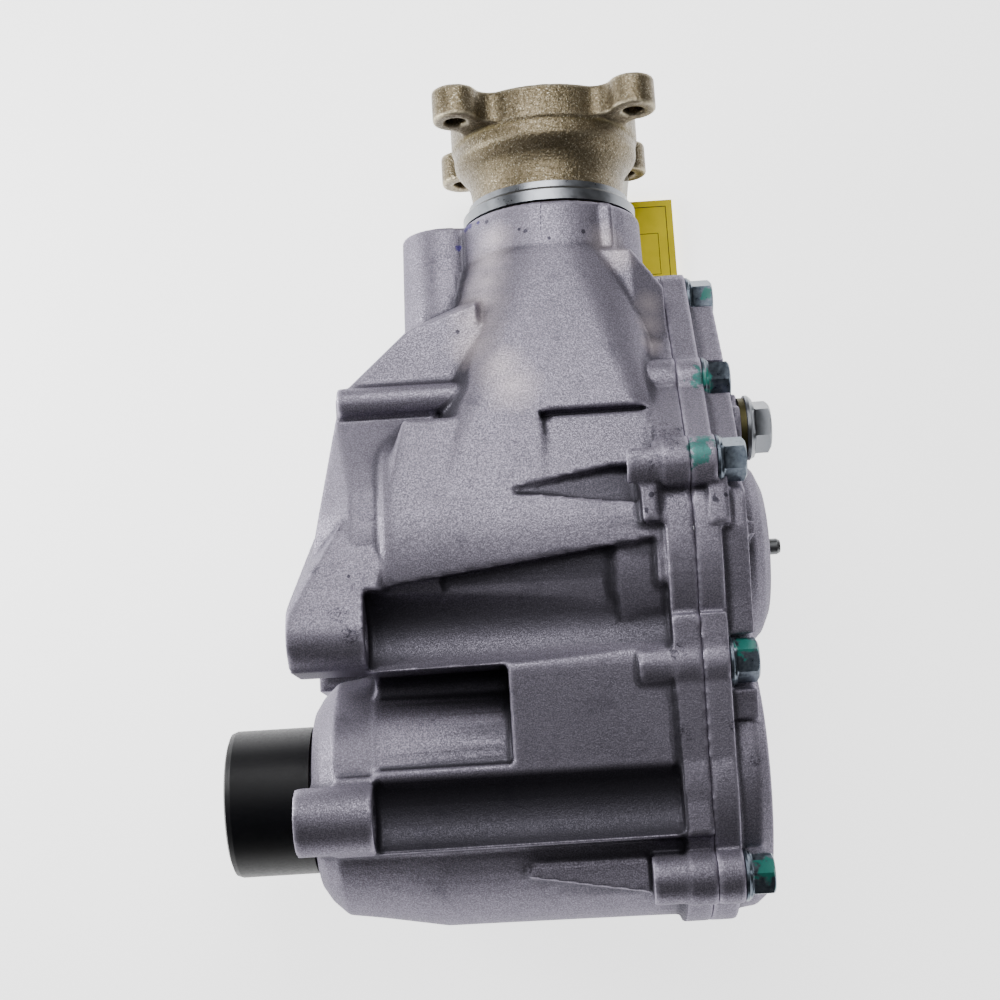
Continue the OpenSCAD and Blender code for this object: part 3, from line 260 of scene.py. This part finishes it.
def cast_metal(name, tone, stain):
    t = Tree(name)
    grain = t.noise(1700.0, 2.0, 0.7)
    coarse = t.noise(600.0, 3.0, 0.6)
    clouds = t.noise(22.0, 4.0, 0.55)
    bend = t.stored("bend")
    base = t.mix(t.spread(clouds, 0.35, 0.68), shade(tone, 0.86), shade(tone, 1.10))
    base = t.layer(base, grain, 0.44, 0.64, 0.45, shade(tone, 0.50))
    base = t.layer(base, grain, 0.52, 0.36, 0.40, shade(tone, 2.2))
    # Painted highlight: outer edges, where the surface bends outwards, are made lighter.
    base = t.layer(base, bend, 0.06, 0.34, 0.55, shade(tone, 2.6))
    # Painted shade: concave corners, where the surface bends inwards, are made darker.
    base = t.layer(base, bend, -0.06, -0.40, 0.40, CORNER_PAINTED_SHADE)
    # Painted shade: points that lie deep in a wide hollow or in a nook are made darker.
    base = t.layer(base, t.stored("hollow"), 0.3, 4.0, 0.70, HOLLOW_PAINTED_SHADE)
    base = t.layer(base, t.stored("nook"), 0.10, 0.80, 0.55, HOLLOW_PAINTED_SHADE)
    # Painted sheen: the listed patches around the output nose are made lighter and warmer.
    painted_sheen = t.math("MULTIPLY", near(t, PAINTED_SHEEN_SPOTS, 0.12, 0.0), t.spread(grain, 0.66, 0.40, 0.45, 0.85))
    base = t.mix(painted_sheen, base, PAINTED_SHEEN_COLOUR)
    smear = t.math("MULTIPLY", t.spread(t.noise(70.0, 6.0, 0.75), 0.56, 0.74), stain)
    speck = t.spread(t.noise(900.0, 4.0, 0.8), 0.46, 0.60)
    dirt = t.math("MAXIMUM", smear, t.math("MULTIPLY", near(t, SCUFFS), speck))
    for mark in (mould_seam(t), near(t, PITS)):
        dirt = t.math("MAXIMUM", dirt, mark)
    base = t.mix(t.math("MULTIPLY", dirt, 0.85), base, SMEAR_DIRT)
    base = t.mix(t.math("MULTIPLY", near(t, INK), 0.8), base, INK_BLUE)
    dab = t.math("MULTIPLY", near(t, CASTING_DABS), t.spread(grain, 0.70, 0.50, 0.25, 0.85))
    base = t.mix(dab, base, INSPECTION_GREEN)
    height = t.math("ADD", t.math("MULTIPLY", grain, 0.6), t.math("MULTIPLY", coarse, 0.5))
    return t.surface(Base_Color=base, Metallic=0.60, Specular_Tint=(0.45, 0.43, 0.50),
                     Roughness=t.spread(grain, 0.35, 0.65, 0.36, 0.60),
                     Normal=t.bump(height, 0.55, 0.40 * MM))

case_metal = cast_metal("case_cast", CAST, STAINS)
cover_metal = cast_metal("cover_cast", shade(CAST, COVER_LIGHTER), STAINS)
print("cast materials:", case_metal.name, cover_metal.name)

# %% [markdown]
# The output flange is rougher and of an olive gold, like a cast or forged flange passivated in yellow
# chromate. A plain gold would look like brass. Grey-brown metal under dark grain and a few bright
# specks comes closer to the thin, uneven film. Its outer edges get a painted highlight, and its
# corners and hollows a painted shade.

# %% Yellow chromate
# Painted shade for the hollows of the flange.
FLANGE_PAINTED_SHADE = (0.026, 0.021, 0.010)

def yellow_chromate():
    t = Tree("yellow_chromate")
    grain = t.noise(760.0, 3.0, 0.7)
    hue = t.noise(30.0, 3.0, 0.5)
    bend = t.stored("bend")
    base = t.mix(t.spread(hue, 0.35, 0.65), (0.115, 0.092, 0.054), (0.195, 0.158, 0.100))
    base = t.layer(base, grain, 0.45, 0.62, 0.65, (0.06, 0.045, 0.02))
    base = t.layer(base, t.noise(1500.0, 1.0), 0.58, 0.74, 0.45, (0.70, 0.64, 0.50))
    # Painted highlight on the outer edges.
    base = t.layer(base, bend, 0.08, 0.35, 0.5, (0.62, 0.55, 0.40))
    # Painted shade in concave corners.
    base = t.layer(base, bend, -0.05, -0.30, 0.7, (0.10, 0.075, 0.02))
    # Painted shade in hollows.
    base = t.layer(base, t.stored("hollow"), -0.5, 2.5, 0.80, FLANGE_PAINTED_SHADE)
    return t.surface(Base_Color=base, Metallic=0.85,
                     Roughness=t.spread(grain, 0.3, 0.7, 0.30, 0.52),
                     Normal=t.bump(grain, 0.75, 0.55 * MM))

flange_metal = yellow_chromate()
print("flange material:", flange_metal.name)

# %% [markdown]
# The other steel parts differ only in tone, gloss and the grain left by zinc plating, grinding or
# turning. They could be five separate materials, but one function with those values makes them all.
# The cover bolts are a bluer zinc and carry dabs of the same green paint, which isn't metal, so the
# metallic value falls to 0 under it.

# %% Steel finishes
def steel(name, tone, rough, scale=500.0, strength=0.12):
    t = Tree(name)
    fine = t.noise(scale, 4.0, 0.6)
    base = t.mix(t.spread(fine, 0.35, 0.7), shade(tone, 0.82), tone)
    return t.surface(Base_Color=base, Metallic=0.92,
                     Roughness=t.spread(fine, 0.3, 0.7, rough * 0.8, rough * 1.25),
                     Normal=t.bump(fine, strength, 0.2 * MM))

zinc = steel("zinc_plate", (0.20, 0.21, 0.23), 0.32, 260.0, 0.05)
bearing = steel("bearing_steel", (0.52, 0.53, 0.55), 0.24)
gear_metal = steel("gear_steel", (0.36, 0.36, 0.38), 0.38)
dark_steel = steel("dark_steel", (0.16, 0.165, 0.17), 0.42)
olive_washer = steel("olive_washer", (0.075, 0.066, 0.028), 0.5)

def painted_zinc():
    t = Tree("painted_zinc")
    fine = t.noise(500.0, 4.0, 0.6)
    base = t.mix(t.spread(fine, 0.35, 0.7), (0.085, 0.105, 0.135), (0.175, 0.205, 0.245))
    paint = near(t, BOLT_DABS)
    base = t.mix(paint, base, INSPECTION_GREEN)
    return t.surface(Base_Color=base, Metallic=t.spread(paint, 0.0, 1.0, 0.92, 0.0),
                     Roughness=t.spread(fine, 0.3, 0.7, 0.26, 0.40),
                     Normal=t.bump(fine, 0.12, 0.2 * MM))

bolt_metal = painted_zinc()
print("steel materials:", [m.name for m in (zinc, bearing, gear_metal, dark_steel, olive_washer)])

# %% [markdown]
# The seals are brown and black rubber, the cap is black polyethylene with a satin skin, and the strap
# is milky. None of them is metal, so one function serves all four: a slightly cloudy colour, a fine
# skin, and a shine that is turned down for the cap, because its black would look grey otherwise.

# %% Rubber and plastic
def soft(name, tone, rough, grain_scale, strength, shine=0.5):
    t = Tree(name)
    fine = t.noise(grain_scale, 4.0, 0.6)
    wide = t.noise(30.0, 3.0, 0.5)
    base = t.mix(t.spread(wide, 0.35, 0.65), shade(tone, 0.8), shade(tone, 1.2))
    return t.surface(Base_Color=base, Roughness=t.spread(fine, 0.3, 0.7, rough * 0.85, rough * 1.2),
                     Specular_IOR_Level=shine, Normal=t.bump(fine, strength, 0.2 * MM))

cap_plastic = soft("cap_plastic", (0.004, 0.004, 0.0055), 0.42, 900.0, 0.10, 0.22)
black_rubber = soft("black_rubber", (0.015, 0.015, 0.015), 0.6, 1200.0, 0.2)
seal_rubber = soft("seal_rubber", (0.13, 0.055, 0.03), 0.55, 1200.0, 0.2)
tie_plastic = soft("tie_plastic", (0.80, 0.80, 0.78), 0.35, 700.0, 0.1)
print("soft materials:", [m.name for m in (cap_plastic, black_rubber, seal_rubber, tie_plastic)])

# %% [markdown]
# The hang tag is yellow card with a thin printed border and an inner box. The lines could be an image
# or thin solids, but two rectangles in the shader follow the corners of the packed tag, whatever its
# size.

# %% Tag card
BORDER_INSET = 3.2 * MM
BORDER_HALF = 0.2 * MM
BOX_HALF = 0.16 * MM

def rectangle(t, corners, half):
    """1 on the four printed lines of a rectangle (x0, y0, x1, y1), each of half width half."""
    x, y = t.node("SeparateXYZ", {0: t.coord}).outputs[:2]
    x0, y0, x1, y1 = corners
    total = None
    for line, at, run, lo, hi in ((x, x0, y, y0, y1), (x, x1, y, y0, y1),
                                  (y, y0, x, x0, x1), (y, y1, x, x0, x1)):
        on = t.math("LESS_THAN", t.math("ABSOLUTE", t.math("SUBTRACT", line, at)), half)
        past_lo = t.math("GREATER_THAN", run, lo - half)
        before_hi = t.math("LESS_THAN", run, hi + half)
        one = t.math("MULTIPLY", on, t.math("MULTIPLY", past_lo, before_hi))
        total = one if total is None else t.math("MAXIMUM", total, one)
    return total

def tag_card():
    t = Tree("tag_card")
    inset = BORDER_INSET
    border = (tag_lo[0] + inset, tag_lo[1] + inset, tag_hi[0] - inset, tag_hi[1] - inset)
    box = (tag_lo[0] + 2.4 * inset, tag_lo[1] + 3.4 * inset,
           tag_hi[0] - 2.4 * inset, tag_hi[1] - 5.2 * inset)
    print_lines = t.math("MAXIMUM", rectangle(t, border, BORDER_HALF), rectangle(t, box, BOX_HALF))
    base = t.mix(t.spread(t.noise(90.0), 0.3, 0.7), (0.62, 0.51, 0.010), (0.72, 0.59, 0.014))
    base = t.mix(print_lines, base, (0.03, 0.03, 0.02))
    return t.surface(Base_Color=base, Roughness=0.6, Specular_IOR_Level=0.15,
                     Normal=t.bump(t.noise(300.0), 0.05, 0.2 * MM))

tag_material = tag_card()
print("tag material:", tag_material.name)

# %% [markdown]
# Every packed node takes one of these materials, named in a table so that a finish is found at a
# glance. What isn't in the table is a shaft or a part of a bearing, and is ground steel. The rounded
# skins and turned fasteners that replace some nodes later take the same finishes.

# %% Hand out the materials
FINISH = {
    "main_case": case_metal, "side_cover": cover_metal, "cover_bolts": bolt_metal,
    "dowel_pins": bearing, "breather": dark_steel, "plug_washer": olive_washer, "fill_plug": zinc,
    "input_seal_ring": seal_rubber, "half_shaft_seal": seal_rubber, "output_seal_ring": seal_rubber,
    "pilot_o_ring": black_rubber, "output_flange": flange_metal, "dust_ring": zinc,
    "flange_nut": zinc, "nut_washer": zinc, "input_cap": cap_plastic, "hang_tag": tag_material,
    "tag_tie": tie_plastic, "input_gear": gear_metal, "driven_gear": gear_metal,
    "ring_gear": gear_metal, "pinion_shaft": gear_metal, "ring_gear_bolts": dark_steel,
    "gear_snap_ring": dark_steel, "crush_sleeve": dark_steel,
}

def dress(obj, material):
    obj.data.materials.clear()
    obj.data.materials.append(material)

for name, obj in nodes.items():
    dress(obj, FINISH.get(name, bearing))
print("dressed", len(nodes), "nodes")

# %% [markdown]
# The materials paint a highlight on outer edges and paint shade into corners and hollows, so they
# need to know the shape around a point. The Ambient Occlusion node could say where shade falls, but
# it traces rays again at every sample of the render. Here the shape is measured once on the mesh: a
# point is compared with the mean of its neighbours, and then with the same surface smoothed a little
# and smoothed a lot.

# %% Bends and hollows of a skin
NOOK_STEPS = 30
HOLLOW_STEPS = 150
BEND_STEPS = 2
NEARLY_ZERO = 1e-6

def store_relief(mesh):
    """Keeps three numbers at each point for the materials: the bend in 1/mm, above 0 on outer
    edges and below 0 in corners, and how deep in mm it lies in a nook or in a wide hollow."""
    count = len(mesh.vertices)
    place, normal = np.empty(count * 3), np.empty(count * 3)
    mesh.vertices.foreach_get("co", place)
    mesh.vertices.foreach_get("normal", normal)
    ends = np.empty(len(mesh.edges) * 2, dtype=np.int64)
    mesh.edges.foreach_get("vertices", ends)
    place, normal, ends = place.reshape(-1, 3) / MM, normal.reshape(-1, 3), ends.reshape(-1, 2)
    a, b = ends[:, 0], ends[:, 1]
    reach = ((place[a] - place[b]) ** 2).sum(axis=1)
    links = np.maximum(np.bincount(a, minlength=count) + np.bincount(b, minlength=count), 1)

    def around(values):
        """The mean of each point's neighbours."""
        return (np.bincount(a, values[b], count) + np.bincount(b, values[a], count)) / links

    middle = np.stack([around(place[:, i]) for i in range(3)], axis=1)
    square = (np.bincount(a, reach, count) + np.bincount(b, reach, count)) / links
    bend = 2 * ((place - middle) * normal).sum(axis=1) / np.maximum(square, NEARLY_ZERO)
    for _ in range(BEND_STEPS):
        bend = 0.5 * bend + 0.5 * around(bend)
    kept = {"bend": bend}
    wide = place
    for step in range(1, HOLLOW_STEPS + 1):
        wide = np.stack([around(wide[:, i]) for i in range(3)], axis=1)
        if step in (NOOK_STEPS, HOLLOW_STEPS):
            name = "nook" if step == NOOK_STEPS else "hollow"
            kept[name] = ((wide - place) * normal).sum(axis=1)
    for name, values in kept.items():
        attribute = mesh.attributes.new(name, "FLOAT", "POINT")
        attribute.data.foreach_set("value", values.astype(np.float32))
        low, high = np.percentile(values, (2, 98))
        print(name, "runs from", round(float(low), 2), "to", round(float(high), 2))

# %% [markdown]
# A casting has no sharp outer edges: the mould is rounded wherever metal has to flow. A Bevel
# modifier would round single edges, but it often fails on narrow triangles where many forms meet.
# The skin is made from the packed node by voxels finer than its walls, then relaxed, which rounds
# outer edges and inner corners alike, and thinned to keep the file small. The two ears at the joint
# stand a little proud of the packed ones, so a block of the right height is joined on first.

# %% Rounded castings
MERGE_WITHIN = 1e-6
# Lowest and highest corner in mm.
CASE_EAR = ((139.3, 96.5, 62.0), (145.6, 113.0, 73.2))
COVER_EAR = ((165.5, 94.0, 62.0), (173.0, 112.0, 72.6))

def one_shell(mesh, ear):
    """Merges the loose triangles of a packed node, and adds the ear as a block."""
    bm = bmesh.new()
    bm.from_mesh(mesh)
    bmesh.ops.remove_doubles(bm, verts=bm.verts, dist=MERGE_WITHIN)
    if ear:
        low, high = Vector(ear[0]) * MM, Vector(ear[1]) * MM
        pad = Matrix.Translation((low + high) / 2) @ Matrix.Diagonal((*(high - low), 1.0))
        bmesh.ops.create_cube(bm, size=1.0, matrix=pad)
    bm.to_mesh(mesh)
    bm.free()

def rounded_skin(node, name, voxel, passes, share, ear=None):
    """A skin of the node in voxels of one size, relaxed in passes and thinned to a share."""
    src = nodes[node]
    obj = bpy.data.objects.new(name, src.data.copy())
    bpy.context.scene.collection.objects.link(obj)
    one_shell(obj.data, ear)
    remesh = obj.modifiers.new("voxels", "REMESH")
    remesh.mode = "VOXEL"
    remesh.voxel_size = voxel
    remesh.use_smooth_shade = True
    relax = obj.modifiers.new("relax", "SMOOTH")
    relax.factor = 0.5
    relax.iterations = passes
    thin = obj.modifiers.new("thin", "DECIMATE")
    thin.ratio = share
    deps = bpy.context.evaluated_depsgraph_get()
    mesh = bpy.data.meshes.new_from_object(obj.evaluated_get(deps))
    obj.modifiers.clear()
    old = obj.data
    obj.data = mesh
    bpy.data.meshes.remove(old)
    for poly in mesh.polygons:
        poly.use_smooth = True
    store_relief(mesh)
    dress(obj, FINISH[node])
    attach(obj, src["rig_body"])
    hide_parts(node)
    print(name, "faces:", len(mesh.polygons))
    return obj

rounded_skin("main_case", "case_skin", 1.15 * MM, 3, 0.30, CASE_EAR)
rounded_skin("side_cover", "cover_skin", 1.0 * MM, 4, 0.5, COVER_EAR)
rounded_skin("output_flange", "flange_skin", 0.8 * MM, 6, 0.6)

# %% [markdown]
# A flanged bolt is one turned and forged piece: a hexagon with its corners turned off at 30 degrees,
# a shallow dish in the top, a tapered flange that spreads the load, and the shank. A six-sided
# cylinder with a bevel would have straight edges at the corners. Here the outline is worked out on
# rings about the bolt's axis, so the turned corners come out as curved edges.

# %% One flanged bolt
RING_STEPS = 72
CORNER_ANGLE = 30
SHARP_ANGLE = 35

def bolt_profile(turn, flats, hex_h, flange_r, flange_h, shank_r, shank_len):
    """Radius and height from the dish in the top down to the shank's end, at one turn."""
    top_r = flats * 0.47
    total = flange_h + hex_h
    dish, lip, chamfer = 0.9 * MM, 0.3 * MM, 1.0 * MM
    side = turn % (math.pi / 3) - math.pi / 6
    hex_r = flats / 2 / math.cos(side)
    fall = (hex_r - top_r) * math.tan(math.radians(CORNER_ANGLE))
    return [
        (top_r * 0.62, total - dish),
        (top_r * 0.78, total - 0.1 * MM),
        (top_r, total),
        (hex_r - 0.15 * MM, total - fall),
        (hex_r, total - 0.2 * MM - fall),
        (hex_r, flange_h + 0.8 * MM),
        (hex_r + lip, flange_h + lip),
        ((hex_r + flange_r) / 2 + lip, flange_h - 0.2 * MM),
        (flange_r - 0.5 * MM, flange_h * 0.62),
        (flange_r, flange_h * 0.45),
        (flange_r, lip),
        (flange_r - lip, 0.0),
        (shank_r, 0.0),
        (shank_r, chamfer - shank_len),
        (shank_r - chamfer, -shank_len),
    ]

def bolt_mesh(name, flats, hex_h, flange_r, flange_h, shank_r, shank_len):
    """A bolt along X, with the underside of its flange at 0."""
    sizes = (flats, hex_h, flange_r, flange_h, shank_r, shank_len)
    turns = [2 * math.pi * i / RING_STEPS for i in range(RING_STEPS)]
    profiles = [bolt_profile(turn, *sizes) for turn in turns]
    rings = list(zip(*profiles))
    verts = [(rings[0][0][1], 0.0, 0.0)]
    for ring in rings:
        for turn, (radius, height) in zip(turns, ring):
            verts.append((height, radius * math.cos(turn), radius * math.sin(turn)))
    verts.append((-shank_len, 0.0, 0.0))
    faces = []
    last = 1 + (len(rings) - 1) * RING_STEPS
    for i in range(RING_STEPS):
        j = (i + 1) % RING_STEPS
        faces.append((0, 1 + i, 1 + j))
        for a in range(1, last, RING_STEPS):
            b = a + RING_STEPS
            faces.append((a + i, b + i, b + j, a + j))
        faces.append((last + i, len(verts) - 1, last + j))
    mesh = bpy.data.meshes.new(name)
    mesh.from_pydata(verts, [], faces)
    bm = bmesh.new()
    bm.from_mesh(mesh)
    bmesh.ops.recalc_face_normals(bm, faces=bm.faces)
    bm.to_mesh(mesh)
    bm.free()
    for poly in mesh.polygons:
        poly.use_smooth = True
    mesh.set_sharp_from_angle(angle=math.radians(SHARP_ANGLE))
    return mesh

# %% [markdown]
# The bolts' seats are where the packed bolts are. Their places could be copied from the CAD source,
# but then a change there would leave the bolts behind. The packed node is taken apart into its
# separate solids instead, and the box of each one gives a seat.

# %% Seats of the cover bolts
def islands(mesh):
    """Lowest and highest corner of each separate solid of a mesh."""
    bm = bmesh.new()
    bm.from_mesh(mesh)
    bmesh.ops.remove_doubles(bm, verts=bm.verts, dist=MERGE_WITHIN)
    left, found = set(bm.verts), []
    while left:
        front = [left.pop()]
        group = list(front)
        while front:
            for edge in front.pop().link_edges:
                for v in edge.verts:
                    if v in left:
                        left.remove(v)
                        front.append(v)
                        group.append(v)
        lo = Vector([min(v.co[i] for v in group) for i in range(3)])
        hi = Vector([max(v.co[i] for v in group) for i in range(3)])
        found.append((lo, hi))
    bm.free()
    return sorted(found, key=lambda box: tuple(box[0]))

bolt_boxes = islands(nodes["cover_bolts"].data)
print("cover bolts found:", len(bolt_boxes))

# %% [markdown]
# Nine equal bolts hold the cover. They could be copied one by one, but they repeat, so a node tree
# sets one bolt on every seat and turns each about its own axis, because no two bolts stop at the
# same angle when they are pulled tight.

# %% Node tree that repeats a piece
TREE_SOCKETS = (
    ("Seats", "NodeSocketGeometry", "INPUT"),
    ("Piece", "NodeSocketObject", "INPUT"),
    ("Largest turn", "NodeSocketFloat", "INPUT"),
    ("Seed", "NodeSocketInt", "INPUT"),
    ("Material", "NodeSocketMaterial", "INPUT"),
    ("Geometry", "NodeSocketGeometry", "OUTPUT"),
)

def repeat_tree(name):
    tree = bpy.data.node_groups.new(name, "GeometryNodeTree")
    for label, kind, way in TREE_SOCKETS:
        tree.interface.new_socket(label, in_out=way, socket_type=kind)
    new, link = tree.nodes.new, tree.links.new
    given, result = new("NodeGroupInput"), new("NodeGroupOutput")
    info = new("GeometryNodeObjectInfo")
    link(given.outputs["Piece"], info.inputs["Object"])
    # Input 3 and output 1 of this node are its largest value and its result as plain numbers.
    chance = new("FunctionNodeRandomValue")
    chance.data_type = "FLOAT"
    link(given.outputs["Largest turn"], chance.inputs[3])
    link(given.outputs["Seed"], chance.inputs["Seed"])
    turn = new("ShaderNodeCombineXYZ")
    link(chance.outputs[1], turn.inputs[0])
    place = new("GeometryNodeInstanceOnPoints")
    link(given.outputs["Seats"], place.inputs["Points"])
    link(info.outputs["Geometry"], place.inputs["Instance"])
    link(turn.outputs[0], place.inputs["Rotation"])
    real = new("GeometryNodeRealizeInstances")
    link(place.outputs[0], real.inputs[0])
    paint = new("GeometryNodeSetMaterial")
    link(real.outputs[0], paint.inputs["Geometry"])
    link(given.outputs["Material"], paint.inputs["Material"])
    link(paint.outputs[0], result.inputs[0])
    return tree

print("inputs of the tree:", [label for label, kind, way in TREE_SOCKETS if way == "INPUT"])

# %% [markdown]
# The tree is put on a mesh that holds only the seats. A modifier's input is set by the socket's
# identifier, because its name isn't a key. The result is turned into a plain mesh and the modifier
# is removed.

# %% Cover bolts
HEX_FLATS = 15.0 * MM
FLANGE_H = 2.5 * MM
SHANK_R = 5.0 * MM
SHANK_LEN = 29.0 * MM
TURN_SEED = 7

def set_input(modifier, label, value):
    for item in modifier.node_group.interface.items_tree:
        if item.name == label and item.in_out == "INPUT":
            modifier[item.identifier] = value

def repeated(name, seats, piece_mesh, seed, material, body, node):
    pattern = bpy.data.objects.new(name + "_pattern", piece_mesh)
    points = bpy.data.meshes.new(name + "_seats")
    points.from_pydata(seats, [], [])
    obj = bpy.data.objects.new(name, points)
    bpy.context.scene.collection.objects.link(obj)
    modifier = obj.modifiers.new("repeat", "NODES")
    modifier.node_group = repeat_tree(name + "_tree")
    set_input(modifier, "Piece", pattern)
    set_input(modifier, "Largest turn", math.pi / 3)
    set_input(modifier, "Seed", seed)
    set_input(modifier, "Material", material)
    deps = bpy.context.evaluated_depsgraph_get()
    mesh = bpy.data.meshes.new_from_object(obj.evaluated_get(deps))
    obj.modifiers.clear()
    obj.data = mesh
    bpy.data.meshes.remove(points)
    bpy.data.objects.remove(pattern)
    if not mesh.materials:
        mesh.materials.append(material)
    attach(obj, body)
    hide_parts(node)
    print(name, "faces:", len(mesh.polygons))
    return obj

seats = [(lo.x + SHANK_LEN, (lo.y + hi.y) / 2, (lo.z + hi.z) / 2) for lo, hi in bolt_boxes]
first_lo, first_hi = bolt_boxes[0]
head_h = first_hi.x - seats[0][0] - FLANGE_H
flange_r = (first_hi.y - first_lo.y) / 2
one_bolt = bolt_mesh("one_bolt", HEX_FLATS, head_h, flange_r, FLANGE_H, SHANK_R, SHANK_LEN)
bolt_body = nodes["cover_bolts"]["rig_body"]
repeated("cover_bolt_set", seats, one_bolt, TURN_SEED, bolt_metal, bolt_body, "cover_bolts")

# %% [markdown]
# The fill plug closes the hole for the oil. It is a flanged hexagon like the bolts, only larger and
# alone, so it is made by the same function and set on its olive washer without a node tree.

# %% Fill plug
PLUG_FLATS = 19.0 * MM
PLUG_FLANGE_H = 3.5 * MM
PLUG_SHANK_R = 9.0 * MM
PLUG_SHANK_LEN = 17.0 * MM

def set_plug():
    lo, hi = (Vector(corner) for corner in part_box("fill_plug"))
    head = hi.x - lo.x - PLUG_SHANK_LEN - PLUG_FLANGE_H
    mesh = bolt_mesh("plug_turned", PLUG_FLATS, head, (hi.y - lo.y) / 2, PLUG_FLANGE_H,
                     PLUG_SHANK_R, PLUG_SHANK_LEN)
    seat = Vector((lo.x + PLUG_SHANK_LEN, (lo.y + hi.y) / 2, (lo.z + hi.z) / 2))
    mesh.transform(Matrix.Translation(seat))
    obj = bpy.data.objects.new("plug_turned", mesh)
    bpy.context.scene.collection.objects.link(obj)
    dress(obj, zinc)
    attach(obj, nodes["fill_plug"]["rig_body"])
    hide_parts("fill_plug")
    print("plug seats at", [round(value, 4) for value in seat])
    return obj

set_plug()

# %% [markdown]
# The photograph's background is cut out to white, so the bench is pale and glows a little, which
# keeps it even to the edges of the picture. A plane large enough to fill the view is all it takes.

# %% Bench
BENCH_HALF = 3.0
BENCH_GLOW = 2.2

def stage_floor():
    mesh = bpy.data.meshes.new("bench")
    s = BENCH_HALF
    mesh.from_pydata([(-s, -s, 0), (s, -s, 0), (s, s, 0), (-s, s, 0)], [], [(0, 1, 2, 3)])
    obj = bpy.data.objects.new("bench", mesh)
    obj.location = (0.1, 0.1, floor_z)
    bpy.context.scene.collection.objects.link(obj)
    t = Tree("bench_paint")
    tint = t.mix(t.spread(t.noise(3.0), 0.3, 0.7), (0.90, 0.90, 0.90), (0.93, 0.93, 0.93))
    dress(obj, t.surface(Base_Color=tint, Roughness=0.9, Emission_Color=(1.0, 1.0, 1.0),
                         Emission_Strength=BENCH_GLOW))
    return obj

stage_floor()
print("bench at", round(floor_z, 4))

# %% [markdown]
# In the photograph the light comes from beyond the flange, so the faces that look down the picture
# fall into soft shade. A small key lamp close beyond the flange and a broad one high beyond it do
# that, and a third on the left lifts the slanted side. A point or sun lamp would give harder shadows,
# so all three are area lamps, each aimed at a place on the unit.

# %% Lamps
WORLD_LIGHT = 0.06

def lamp(name, place, aim, width, height, watts):
    light = bpy.data.lights.new(name, "AREA")
    light.shape = "RECTANGLE"
    light.size, light.size_y, light.energy = width, height, watts
    obj = bpy.data.objects.new(name, light)
    obj.location = place
    obj.rotation_euler = (Vector(aim) - Vector(place)).to_track_quat("-Z", "Y").to_euler()
    bpy.context.scene.collection.objects.link(obj)
    print(name, "lamp:", watts, "W")
    return obj

lamp("key", (0.05, 0.40, 0.40), (0.09, 0.22, 0.03), 0.30, 0.16, 1.8)
lamp("overhead", (0.14, 0.38, 1.10), (0.09, 0.10, 0.0), 0.9, 0.5, 3.4)
lamp("left_fill", (-0.46, 0.24, 0.14), (0.09, 0.22, 0.02), 0.25, 0.16, 3.6)

world = bpy.data.worlds.new("studio")
world.use_nodes = True
background = world.node_tree.nodes["Background"]
background.inputs[0].default_value = (1.0, 1.0, 1.0, 1.0)
background.inputs[1].default_value = WORLD_LIGHT
bpy.context.scene.world = world

# %% [markdown]
# The camera stands where the photograph was taken from: almost straight over the input shaft, three
# quarters of a metre up, turned a little so the unit leans in the frame. Its place was worked out
# from points on the photograph that the solids have too.

# %% Camera
SENSOR_MM = 36.0
FOCAL_MM = 64.73
EYE = (0.09394, -0.01879, 0.75419)
TILT_DEGREES = (10.462, 1.379, -3.406)

camera_data = bpy.data.cameras.new("camera")
camera_data.sensor_width = SENSOR_MM
camera_data.lens = FOCAL_MM
camera = bpy.data.objects.new("camera", camera_data)
camera.location = EYE
camera.rotation_euler = [math.radians(angle) for angle in TILT_DEGREES]
bpy.context.scene.collection.objects.link(camera)
bpy.context.scene.camera = camera
print("camera over", EYE[:2], "at height", EYE[2])

# %% [markdown]
